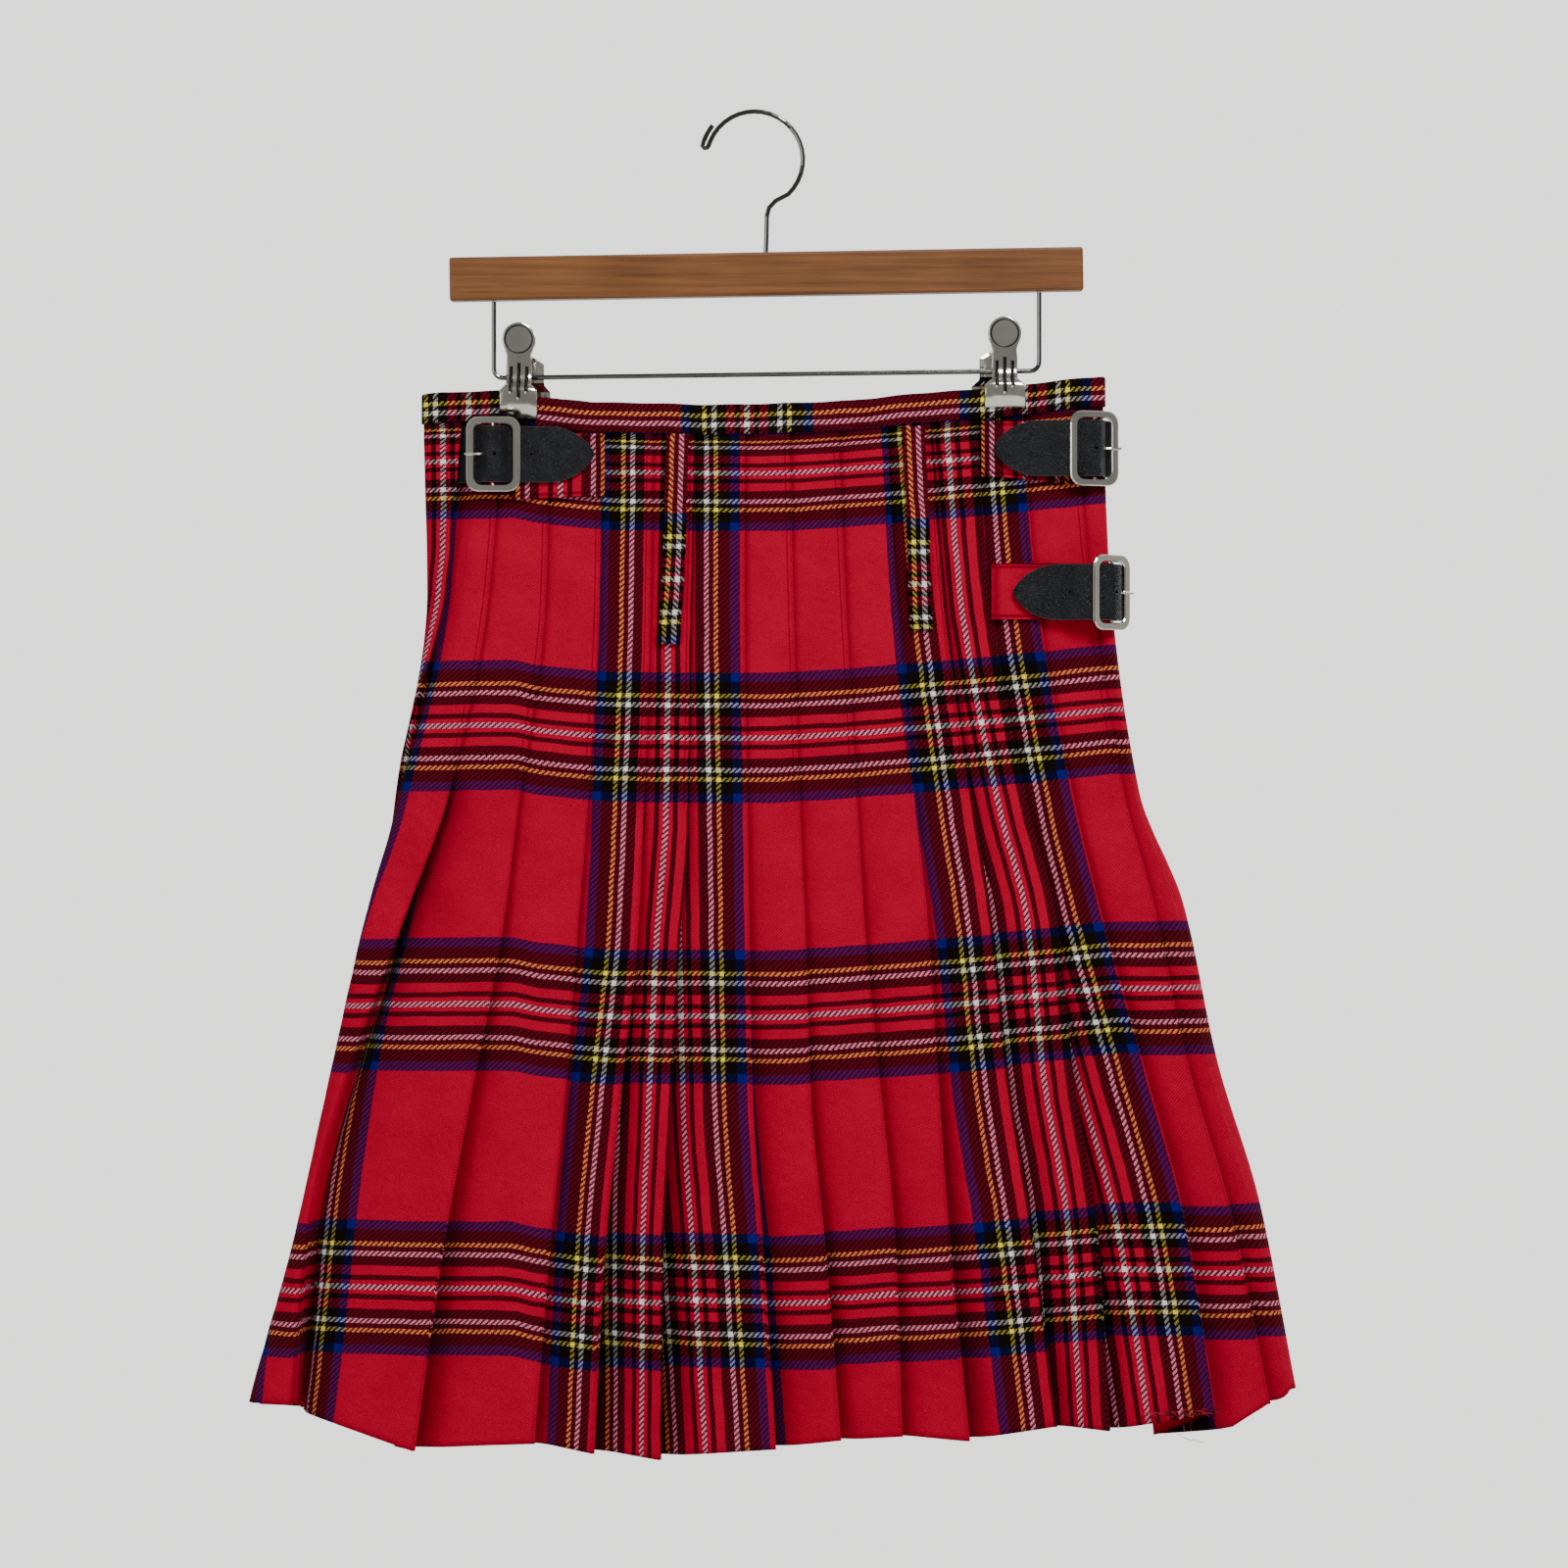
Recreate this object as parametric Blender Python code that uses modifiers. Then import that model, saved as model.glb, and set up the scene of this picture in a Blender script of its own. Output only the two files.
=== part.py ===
"""Tartan kilt hung by its waist from a wooden clip hanger, its pleats to the front.

X runs to the right, Y away from the pleats towards the wall, Z up.  The origin is the
inside of the top of the hanger's hook, where the hook rests.  The tables and sizes are
in millimetres and the meshes are made in metres.
"""
import math

import bpy
import bmesh
from mathutils import Matrix, Vector

MM = 0.001
GAP = 0.3             # between pieces that touch
CLOTH = 1.0           # wall of the worsted cloth
LEATHER = 2.0         # wall of the straps

# Shares of the way from the waist edge to the hem at which the tables below are given
LEVELS = (0.04, 0.19, 0.40, 0.51, 0.67, 0.81, 1.00)

# Shares at which the cloth's rings are made
RINGS = (0, 0.045, 0.1, 0.19, 0.27, 0.31, 0.35, 0.39, 0.44, 0.52, 0.62, 0.72, 0.82, 0.91, 1)

# Half widths, fronts and fullness of the hanging kilt, one row for each edge or depth
LEFT_EDGE = (-190, -188, -209, -225, -245, -262, -292)
RIGHT_EDGE = (202, 206, 223, 248, 268, 292, 313)
FRONT_DEPTH = (6.6, 9, 14, 20, 27, 32, 36)
WALL_DEPTH = (6.6, 11, 14, 16, 19, 22, 25)
SQUARENESS = (30, 16, 8, 5.5, 4, 3.5, 3.2)

# Each sewn pleat's fold edge, left to right: its place across the kilt at each level,
# then at the hem the height of its corner, how far the next face starts behind it, how
# far that face is tucked under it (negative where the pleat gapes), how far the edge
# stands forward, the width over which the next face rises, and how much lower the
# tucked layer hangs
PLEATS = (
    (-146, -152, -176, -199, -232, -253, -263, -740, 26, -3, -7, 5, -3),
    (-118, -120, -136, -144, -162, -177, -193, -764, 13, 12, 8, 8, 0),
    (-88, -89, -96, -101, -108, -116, -125, -760, 10, 12, 3, 6, 0),
    (-59, -60, -64, -67, -77, -85, -91, -765, 19, 10, 6, 9, 0),
    (-34, -36, -38, -43, -48, -52, -53, -768, 20, 9, 10, 8, 0),
    (-6, -6, -4, -3, -1, 5, 12, -763, 13, 12, 6, 7, 0),
    (20, 22, 26, 29, 32, 40, 49, -758, 10, 11, 3, 5, 0),
    (48, 52, 59, 63, 72, 80, 84, -756, 10, 11, 1, 5, 0),
    (76, 81, 93, 99, 105, 111, 122, -758, 14, 12, 6, 6, 0),
    (102, 109, 125, 135, 145, 158, 172, -751, 11, 13, 1, 6, 0),
    (127, 134, 156, 172, 182, 195, 202, -753, 12, 10, 4, 5, 0),
    (154, 161, 182, 197, 223, 245, 263, -744, 13, 34, 2, 6, -13),
    (184, 192, 211, 228, 248, 272, 295, -740, 8, 10, 0, 4, 0),
)
SEWN_DEPTH = 4.0      # from a sewn fold edge back to where the next face starts
SEWN_TUCK = 12
SEWN_RISE = 3.6
SEWN_FOLD = 1.3       # between the two layers at a sewn fold
FREE_FOLD = 2.8
FELL = 0.385          # share down the cloth at which the stitching ends

# The waist edge, sagging between the two clips: across, height
WAIST_EDGE = ((-192, -161), (-140, -160), (-124, -163), (-73, -167), (6, -167.5),
              (39, -166), (101, -161), (157, -156), (204, -151))
# The aprons' hem behind: across, height
APRON_HEM = ((-292, -742), (-150, -752), (0, -754), (160, -750), (313, -732))

# Over apron: edge that laps the first pleat, counted along the cloth from the left side
# (positive on the pleated side, negative on the wall side), and its free edge
LAP_EDGE = (24, 14, -4, -9, -10, -10, -10)
# Where the pleated cloth starts under it, counted the same way, and how deep it lies
PLEATS_START = (18, 8, -22, -22, -22, -22, -22)
START_INSET = (5.8, 5.8, 4.2, 4.2, 4.2, 4.2, 4.2)
FREE_EDGE_IN = 12
UNDER_INSET = 4.2     # under apron's place inside the over apron
UNDER_END_IN = 30
WRAP_IN = 22          # how far the pleated cloth goes round each side

BAND_HEIGHT = 17
BAND_SPREAD = 6.0     # from the fold edges to the waistband's inner leg

HANGER_TILT = math.radians(0.97)
BAR_SIZE = (364, 13, 25)
BAR_CENTRE = (6.7, 0, -92.5)
HOOK_WIRE = 2.8
RAIL_WIRE = 2.8
CLIP_PLATE = 1.0

# Clips: across, height of the head's centre, half width of the jaw, jaw height
CLIPS = {"left": (-135.5, -130, 11, 15), "right": (143.5, -126.5, 12, 11.5)}
CLIP_RAIL_DROP = 21.6

# Buckles: centre across, height, turn about Z, bar's clearance from the cloth, tab's
# inner end, top and bottom, and the strap's tip
BUCKLES = {
    "left": (-149.6, -196.5, 0, 6.5, -86, -184.4, -222.5, -92),
    "right_upper": (194.5, -193, 24, 3.1, 130, -177, -213.5, 137),
    "right_lower": (204.4, -275.5, 45, 3.1, 135.5, -259, -291, 148),
}
FRAME_SIZE = (31, 43)
FRAME_BAR = 4.6
FRAME_THICK = 2.0
OPENING_HEIGHT = 34.6
BAR_RADIUS = 1.0
STRAP_WIDTH = 32
TIP_SHAPE = (0.985, 0.93, 0.82, 0.64, 0.42, 0.13)
# Holes in a strap: place from the buckle's middle towards the tip, and how oblong
STRAP_HOLES = ((-6.5, 1.9), (1.0, 1.0), (21.5, 1.0))
PRONG_WIRE = 1.6


def at_level(row, share):
    """Value of a table row at a share of the way down the cloth."""
    return smooth(list(zip(LEVELS, row)), share)


def smooth(pairs, x):
    """Cubic through (x, y) pairs, level beyond the ends, with no overshoot."""
    if x <= pairs[0][0]:
        return pairs[0][1]
    if x >= pairs[-1][0]:
        return pairs[-1][1]
    steps = [(b[1] - a[1]) / (b[0] - a[0]) for a, b in zip(pairs, pairs[1:])]
    slopes = [steps[0]] + [
        0.0 if a * b <= 0 else 2 * a * b / (a + b) for a, b in zip(steps, steps[1:])
    ] + [steps[-1]]
    i = next(i for i in range(len(steps)) if x <= pairs[i + 1][0])
    width = pairs[i + 1][0] - pairs[i][0]
    t = (x - pairs[i][0]) / width
    return (
        pairs[i][1] * (1 + 2 * t) * (1 - t) ** 2
        + pairs[i + 1][1] * t * t * (3 - 2 * t)
        + width * t * (1 - t) * (slopes[i] * (1 - t) - slopes[i + 1] * t)
    )


def ease(x, low, high):
    """Rise from 0 at low to 1 at high."""
    t = min(max((x - low) / (high - low), 0), 1)
    return t * t * (3 - 2 * t)


def waist_bulge(x, share):
    """How far the aprons stand out between the clips, where nothing pinches them."""
    left = CLIPS["left"][0] + 14
    right = CLIPS["right"][0] - 16
    across = (x - left) / (right - left)
    if not 0 < across < 1:
        return 0.0
    return 8 * math.sin(math.pi * across) ** 2 * (1 - ease(share, 0.0, 0.3))


def apron_ripple(x, share):
    """Soft vertical folds in the hanging aprons."""
    return 3.2 * share * share * math.sin(x / 31 + 0.6) * (1 - (x / 330) ** 2)


def fullness(x, share):
    """Share of the full depth that the hanging kilt has at a place across it."""
    left = at_level(LEFT_EDGE, share)
    right = at_level(RIGHT_EDGE, share)
    across = min(abs(2 * x - left - right) / (right - left), 1)
    return math.sqrt(1 - across ** at_level(SQUARENESS, share))


def front_y(x, share):
    """Y of the fold edges' envelope on the pleated side."""
    return -at_level(FRONT_DEPTH, share) * fullness(x, share)


def wall_y(x, share):
    """Y of the outer apron on the wall side."""
    depth = at_level(WALL_DEPTH, share) + waist_bulge(x, share) + apron_ripple(x, share)
    return depth * fullness(x, share)


def half_turn(power):
    """Stations from the middle of one face to the side, as (degrees, share of the half
    width, share of the depth)."""
    edge = math.cos(math.radians(80)) ** (2 / power)
    stations = []
    for i in range(50):
        across = edge * i / 50
        stations.append((90 - i / 5, across, math.sqrt(1 - across ** power)))
    for i in range(41):
        angle = math.radians(80 - 2 * i)
        stations.append((80 - 2 * i, math.cos(angle) ** (2 / power), math.sin(angle)))
    return stations


def side_curve(share, side, front_inset=0.0, wall_inset=0.0):
    """Points round one side, from the middle of the wall side to that of the pleats."""
    left = at_level(LEFT_EDGE, share)
    right = at_level(RIGHT_EDGE, share)
    middle = (left + right) / 2
    turn = half_turn(at_level(SQUARENESS, share))
    points = []
    for i in range(181):
        at_wall = i < 90
        degrees, across, deep = turn[i] if at_wall else turn[180 - i]
        blend = ease(degrees, 0, 40)
        inset = wall_inset if at_wall else front_inset
        inset = inset * blend + (wall_inset + front_inset) / 2 * (1 - blend)
        x = middle + side * ((right - left) / 2 - inset) * across
        if at_wall:
            depth = at_level(WALL_DEPTH, share) + waist_bulge(x, share) - inset
            depth += apron_ripple(x, share) * ease(degrees, 0, 60)
        else:
            depth = inset - at_level(FRONT_DEPTH, share)
        points.append((x, depth * deep))
    return points


def lengths(points):
    """Distance of each point from the first, along the line."""
    total = [0.0]
    for a, b in zip(points, points[1:]):
        total.append(total[-1] + math.dist(a, b))
    return total


def along(points, total, place):
    """Point at a distance along the line."""
    place = min(max(place, 0.0), total[-1])
    for i in range(len(total) - 1):
        if place <= total[i + 1]:
            span = total[i + 1] - total[i]
            t = (place - total[i]) / span if span else 0.0
            return tuple(a + (b - a) * t for a, b in zip(points[i], points[i + 1]))
    return points[-1]


def resample(points, count, start=0.0, end=None):
    """Evenly spaced points between two distances along the line."""
    total = lengths(points)
    end = total[-1] if end is None else end
    return [along(points, total, start + (end - start) * i / (count - 1))
            for i in range(count)]


def distance_at_x(points, x):
    """Distance along a side curve at which its pleated half passes an x."""
    total = lengths(points)
    for i in range(len(points) // 2, len(points) - 1):
        a, b = points[i][0], points[i + 1][0]
        if (a - x) * (b - x) <= 0 and a != b:
            return total[i] + (total[i + 1] - total[i]) * (x - a) / (b - a)
    return total[-1]


def offset(points, distance):
    """Line moved to its left by a distance, or one for each point, mitred at corners."""
    moved = []
    for i, (x, y) in enumerate(points):
        before = points[i - 1] if i else None
        after = points[i + 1] if i + 1 < len(points) else None
        normals = []
        for a, b in ((before, (x, y)), ((x, y), after)):
            if a and b:
                size = math.dist(a, b) or 1.0
                normals.append(((a[1] - b[1]) / size, (b[0] - a[0]) / size))
        nx = sum(n[0] for n in normals) / len(normals)
        ny = sum(n[1] for n in normals) / len(normals)
        shift = distance[i] if isinstance(distance, list) else distance
        scale = shift / max(nx * nx + ny * ny, 0.35)
        moved.append((x + nx * scale, y + ny * scale))
    return moved


def link(obj, collection, material):
    """Put an object in a collection with its material."""
    for owner in list(obj.users_collection):
        owner.objects.unlink(obj)
    collection.objects.link(obj)
    obj.data.materials.clear()
    obj.data.materials.append(material)
    return obj


def new_mesh(name, verts, faces, collection, material):
    """Closed mesh from vertices in millimetres, its faces turned outward."""
    mesh = bpy.data.meshes.new(name)
    mesh.from_pydata([tuple(c * MM for c in v) for v in verts], [], faces)
    shell = bmesh.new()
    shell.from_mesh(mesh)
    bmesh.ops.recalc_face_normals(shell, faces=shell.faces)
    if shell.calc_volume(signed=True) < 0:
        bmesh.ops.reverse_faces(shell, faces=shell.faces)
    shell.to_mesh(mesh)
    shell.free()
    obj = bpy.data.objects.new(name, mesh)
    return link(obj, collection, material)


def loft(name, sections, collection, material):
    """Solid through closed sections of equal point counts, ends capped by strips."""
    count = len(sections[0])
    verts = [p for section in sections for p in section]
    faces = []
    for r in range(len(sections) - 1):
        for i in range(count):
            j = (i + 1) % count
            faces.append((r * count + i, r * count + j,
                          (r + 1) * count + j, (r + 1) * count + i))
    last = (len(sections) - 1) * count
    for i in range(count // 2 - 1):
        faces.append((i, count - 1 - i, count - 2 - i, i + 1))
        faces.append((last + i, last + i + 1, last + count - 2 - i, last + count - 1 - i))
    return new_mesh(name, verts, faces, collection, material)


def wall(name, rows, thickness, collection, material):
    """Cloth wall through rows of (x, y, z) centre points, offset to both sides."""
    sections = []
    for row in rows:
        line = [(p[0], p[1]) for p in row]
        outer = offset(line, -thickness / 2)
        inner = offset(line, thickness / 2)
        section = [(o[0], o[1], p[2]) for o, p in zip(outer, row)]
        section += [(n[0], n[1], p[2]) for n, p in zip(inner[::-1], row[::-1])]
        sections.append(section)
    return loft(name, sections, collection, material)


def hem_height(x):
    """Height of the aprons' hem."""
    return smooth(APRON_HEM, x)


def down(x, share, hem):
    """Height at a share of the way from the waist edge to a hem height."""
    top = smooth(WAIST_EDGE, x) - GAP - CLOTH - 0.6
    return top + (hem - top) * share


def free_share(share):
    """How far a free pleat has opened, 0 at the end of the stitching and 1 at the hem."""
    return ease(share, FELL - 0.05, 1.15) / ease(1.0, FELL - 0.05, 1.15)


def pleat_at(pleat, share):
    """Sizes of one pleat at a share of the way down."""
    hem, depth, tuck, forward, rise, drop = pleat[7:]
    opened = free_share(share)
    gaping = opened if tuck >= 0 else ease(share, FELL - 0.03, 0.62)
    return {
        "x": at_level(pleat[:7], share),
        "hem": hem,
        "depth": SEWN_DEPTH + (depth - SEWN_DEPTH) * (opened if tuck >= 0 else gaping ** 0.8),
        "tuck": SEWN_TUCK + (tuck - SEWN_TUCK) * gaping,
        "forward": forward * opened,
        "rise": SEWN_RISE + (rise - SEWN_RISE) * gaping,
        "fold": SEWN_FOLD + (FREE_FOLD - SEWN_FOLD) * opened,
        "drop": drop * opened,
        "gape": gaping if tuck < 0 else 0.0,
    }


def outer_places(share):
    """Over apron's stations: distances along the wall from the right side, then places
    counted from the left side, positive on the pleated side."""
    wall_line = wall_path(share)
    total = lengths(wall_line)[-1]
    first = [FREE_EDGE_IN, 16, WRAP_IN + GAP, 30]
    turn = total - 26
    first += [30 + (turn - 30) * i / 13 for i in range(1, 14)]
    lap = at_level(LAP_EDGE, share)
    return first, [-26 + (lap + 26) * (i / 14) for i in range(1, 15)]


def wall_path(share):
    """Outer line on the wall side, from the right side to the left side."""
    return side_curve(share, 1)[90::-1] + side_curve(share, -1)[1:91]


def left_path(share):
    """Outer line round the left side, from the wall to the middle of the pleats."""
    return side_curve(share, -1)


def left_point(share, place):
    """Point on the outer line at a place counted from the left side."""
    line = left_path(share)
    total = lengths(line)
    return along(line, total, total[90] + place)


def outer_line(share):
    """Over apron's centre line as (x, y) points, from its free edge to its lap."""
    first, last = outer_places(share)
    line = wall_path(share)
    total = lengths(line)
    points = [along(line, total, place) for place in first]
    return points + [left_point(share, place) for place in last]


def lap_edge_x(share):
    """X of the over apron's lapping edge."""
    return left_point(share, at_level(LAP_EDGE, share))[0]


def left_part(share, first_x):
    """First face, from under the over apron or from round the left side."""
    start = at_level(PLEATS_START, share)
    lap = at_level(LAP_EDGE, share)
    line = left_path(share)
    end = distance_at_x(line, first_x - 4) - lengths(line)[90]
    places = [start, start + 0.45 * (lap - start), lap + 1]
    places += [lap + 1 + (end - lap - 1) * f for f in (0.18, 0.36, 0.55, 0.77, 1.0)]
    points = [left_point(share, place) for place in places]
    inset = at_level(START_INSET, share)
    rise = min(16.0, 0.7 * (end - lap))
    depths = [inset * (1 - ease(place, lap - 2, lap + rise)) + 0.3 for place in places]
    depths[0] = inset
    return offset(points, depths)


def pleat_row(share):
    """One ring of the pleated cloth as (x, y, z) points, left to right."""
    pleats = [pleat_at(p, share) for p in PLEATS]
    points = []
    first = pleats[0]
    hem = hem_height(at_level(LEFT_EDGE, share)) + 2
    for x, y in left_part(share, first["x"]):
        mix = ease(x, at_level(LEFT_EDGE, share), first["x"])
        points.append((x, y, down(x, share, hem + (first["hem"] - hem) * mix)))
    for i, p in enumerate(pleats):
        x = p["x"]
        y = front_y(x, share) - p["forward"]
        c = p["fold"] / 2
        outer = [(x - c, y), (x, y + c), (x - c, y + 2 * c)]
        points += [(a, b, down(a, share, p["hem"])) for a, b in outer]
        tip_x = x - p["tuck"]
        back = wall_y(tip_x, share) - UNDER_INSET - 3.2
        tip_y = min(front_y(tip_x, share) + p["depth"], back)
        turn = p["gape"] * math.pi / 2
        dx = c * math.sin(turn)
        dy = c * math.cos(turn)
        low = p["hem"] + p["drop"]
        points.append((tip_x - dx, tip_y - dy, down(tip_x, share, low)))
        points.append((tip_x + dx, tip_y + dy, down(tip_x, share, low)))
        after = pleats[i + 1] if i + 1 < len(pleats) else None
        next_x = after["x"] if after else at_level(RIGHT_EDGE, share)
        next_hem = after["hem"] if after else hem_height(next_x)
        reach = next_x - x
        for step, deep in ((p["rise"], 0.52), (min(2.8 * p["rise"], 0.5 * reach), 0.12)):
            face_x = x + step
            face_y = front_y(face_x, share) + deep * p["depth"]
            mix = step / reach
            z_hem = low + (next_hem - low) * mix
            points.append((face_x, face_y, down(face_x, share, z_hem)))
    for x, y in right_part(share):
        points.append((x, y, down(x, share, hem_height(x))))
    return points


def right_part(share):
    """Cloth after the last pleat, round the right side to the wall side."""
    curve = side_curve(share, 1, front_inset=0.4, wall_inset=UNDER_INSET)
    total = lengths(curve)
    side = total[90]
    last_x = at_level(PLEATS[-1][:7], share)
    reach = at_level(RIGHT_EDGE, share) - last_x
    start = distance_at_x(curve, last_x + 0.66 * reach) - side
    places = [start, 0.7 * start, 0.42 * start, 0.2 * start, 0, -2.2, -4.6, -8]
    points = [along(curve, total, side + place) for place in places]
    seam = offset(outer_line(share), UNDER_INSET)
    size = math.dist(seam[1], seam[2])
    t = 1 - (GAP + 0.05) / size
    last = (seam[1][0] + (seam[2][0] - seam[1][0]) * t,
            seam[1][1] + (seam[2][1] - seam[1][1]) * t)
    return points + [seam[1], last]


def apron_row(points, share):
    """One ring of an apron as (x, y, z) points."""
    return [(x, y, down(x, share, hem_height(x))) for x, y in points]


def under_line(share):
    """Under apron's centre line, from the right side's seam to its free edge."""
    points = outer_line(share)
    inner = offset(points, UNDER_INSET)
    end_x = at_level(LEFT_EDGE, share) + UNDER_END_IN
    kept = [p for p in inner[2:17] if p[0] > end_x + 3]
    return resample_last(kept, end_x, inner, 15)


def resample_last(kept, end_x, line, count):
    """Kept stations, then even ones on the line as far as an x."""
    after = [p for p in line if p[0] <= kept[-1][0] and p[1] > 0]
    path = [kept[-1]]
    for a, b in zip(after, after[1:]):
        if b[0] <= end_x:
            t = (end_x - a[0]) / (b[0] - a[0])
            path.append((end_x, a[1] + (b[1] - a[1]) * t))
            break
        path.append(b)
    return kept + resample(path, count - len(kept) + 1)[1:]


def pleated_back(collection, material):
    """The pleated length of the kilt, knife pleats sewn down to the fell."""
    rows = [pleat_row(s) for s in RINGS]
    return wall("pleated_back", rows, CLOTH, collection, material)


def over_apron(collection, material):
    """Outer apron on the wall side, lapping the first pleat at the left."""
    rows = [apron_row(outer_line(s), s) for s in RINGS]
    return wall("over_apron", rows, CLOTH, collection, material)


def under_apron(collection, material):
    """Inner apron, from the right side's seam to just short of the left side."""
    rows = [apron_row(under_line(s), s) for s in RINGS]
    return wall("under_apron", rows, CLOTH, collection, material)


def band_path():
    """Waistband's path and its inner leg's distances, over apron to under apron."""
    path = outer_line(0)
    reach = CLOTH + GAP
    spread = [reach] * len(path)
    lap = path[-1][0]
    spread[-3:] = [6.9, 7.6, 7.6]
    for shift, deep in ((3, 7.4), (7, 6.8), (11, BAND_SPREAD + 0.1)):
        path.append((lap + shift, front_y(lap + shift, 0)))
        spread.append(deep)
    start = path[-1][0]
    end = PLEATS[-1][0] + 3.0
    for i in range(1, 25):
        x = start + (end - start) * i / 24
        path.append((x, front_y(x, 0)))
        spread.append(BAND_SPREAD)
    right = right_part(0)
    path += right
    spread += [4.0] + [reach] * (len(right) - 1)
    under = under_line(0)
    path += under[1:]
    spread += [reach] * (len(under) - 1)
    return path, spread


def waistband(collection, material):
    """Binding folded over the waist edge all the way along the wrapped cloth."""
    path, spread = band_path()
    outer = offset(path, -CLOTH - GAP)
    inner = offset(path, spread)
    half = CLOTH / 2
    sections = []
    for (ox, oy), (ix, iy) in zip(outer, inner):
        away = Vector((ix - ox, iy - oy)).normalized()
        top = smooth(WAIST_EDGE, ox)
        low = top - BAND_HEIGHT
        spots = ((-half, 0, low), (-half, 0, top), (half, 1, top), (half, 1, low),
                 (-half, 1, low), (-half, 1, top - CLOTH), (half, 0, top - CLOTH),
                 (half, 0, low))
        section = []
        for shift, leg, z in spots:
            x, y = (ix, iy) if leg else (ox, oy)
            section.append((x + away.x * shift, y + away.y * shift, z))
        sections.append(section)
    count = len(sections[0])
    verts = [p for section in sections for p in section]
    faces = []
    for r in range(len(sections) - 1):
        for i in range(count):
            j = (i + 1) % count
            faces.append((r * count + i, r * count + j,
                          (r + 1) * count + j, (r + 1) * count + i))
    last = (len(sections) - 1) * count
    for a, b, c, d in ((0, 7, 6, 1), (1, 6, 5, 2), (2, 5, 4, 3)):
        faces.append((a, b, c, d))
        faces.append((last + d, last + c, last + b, last + a))
    return new_mesh("waistband", verts, faces, collection, material)


def ribbon(name, top_line, low_line, tops, lows, thickness, collection, material):
    """Strip of even wall standing on edge along an upper and a lower (x, y) line."""
    top_outer = offset(top_line, -thickness / 2)
    top_inner = offset(top_line, thickness / 2)
    low_outer = offset(low_line, -thickness / 2)
    low_inner = offset(low_line, thickness / 2)
    sections = []
    for i in range(len(top_line)):
        sections.append([(*low_outer[i], lows[i]), (*top_outer[i], tops[i]),
                         (*top_inner[i], tops[i]), (*low_inner[i], lows[i])])
    return loft(name, sections, collection, material)


def on_cloth(x, share, lift):
    """Point a lift above the pleated side's outer face."""
    slope = front_y(x + 0.5, share) - front_y(x - 0.5, share)
    return Vector((x, front_y(x, share) - (CLOTH / 2 + lift) * math.hypot(1, slope)))


def belt_loop(name, top, bottom, collection, material):
    """Narrow vertical loop of doubled cloth sewn under the waistband."""
    width = 13
    rows = []
    for i in range(9):
        t = i / 8
        x = top[0] + (bottom[0] - top[0]) * t
        z = top[1] + (bottom[1] - top[1]) * t
        share = (z + 162) / (-755 + 162)
        y = front_y(x, share) - CLOTH / 2 - GAP - 0.6 - 1.3 * math.sin(math.pi * t) ** 0.6
        rows.append([(x - width / 2, y, z), (x, y - 0.3, z), (x + width / 2, y, z)])
    return wall(name, rows, 1.2, collection, material)


def share_at(height):
    """Share of the way down of a height on the pleated side."""
    return (height + 160) / (-595)


def buckle_place(name):
    """Centre, unit vector towards the strap's tip, outward vector of a buckle."""
    x, z, turn, clear = BUCKLES[name][:4]
    angle = math.radians(turn)
    toward_tip = 1 if name == "left" else -1
    across = Vector((math.cos(angle), math.sin(angle))) * toward_tip
    outward = Vector((math.sin(angle), -math.cos(angle)))
    side = -1 if name == "left" else 1
    curve = side_curve(share_at(z - FRAME_SIZE[1] / 2), side)
    support = max(p[0] * outward.x + p[1] * outward.y for p in curve[60:])
    y = (support + CLOTH / 2 + clear - x * outward.x) / outward.y
    return Vector((x, y)), across, outward


def cloth_height(name, share, a):
    """Height of the cloth's face in a buckle's own frame, a distance towards the tip."""
    centre, across, outward = buckle_place(name)
    side = -1 if name == "left" else 1
    curve = side_curve(share, side)[60:]
    local = [((Vector(p) - centre).dot(across), (Vector(p) - centre).dot(outward))
             for p in curve]
    for p, q in zip(local, local[1:]):
        if (p[0] - a) * (q[0] - a) <= 0 and p[0] != q[0]:
            t = (a - p[0]) / (q[0] - p[0])
            return p[1] + (q[1] - p[1]) * t + CLOTH / 2 / outward_cos(name)
    middle = front_y(centre.x + across.x * a, share)
    point = Vector((centre.x + across.x * a, middle)) - centre
    return point.dot(outward) + CLOTH / 2 / outward_cos(name)


def outward_cos(name):
    """Cosine of a buckle's turn."""
    return math.cos(math.radians(BUCKLES[name][2]))


def tab_path(name, share):
    """Tab's centre line: under layer, round the centre bar, upper layer."""
    centre, across, outward = buckle_place(name)
    slant = outward_cos(name)
    radius = BAR_RADIUS + GAP + CLOTH / 2
    under = GAP + CLOTH / 2
    lower = []
    upper = []
    start = (centre + across * 13 + outward * cloth_height(name, share, 13)).x
    end = BUCKLES[name][4]
    for f in (1, 0.8, 0.6, 0.4, 0.25, 0.1):
        x = start + (end - start) * f
        lower.append(on_cloth(x, share, under))
        upper.append(on_cloth(x, share, under + CLOTH + GAP))
    for a in (13, 10.5, 8.0, 5.5, 3.4):
        rise = 1 - ease(a, 1.5, 10)
        low = cloth_height(name, share, a) + under / slant
        spare = 8 * rise * (1 - rise) * (1 / slant - 1)
        high = low + (CLOTH + GAP) / slant
        lower.append(centre + across * a + outward * (low * (1 - rise) - radius * rise))
        upper.append(centre + across * a + outward
                     * (high * (1 - rise) + 0.9 * rise + spare))
    loop = []
    for i in range(7):
        angle = math.radians(-75 - 235 * i / 6)
        loop.append(centre + across * radius * math.cos(angle)
                    + outward * radius * math.sin(angle))
    return lower + loop + upper[::-1]


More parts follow.
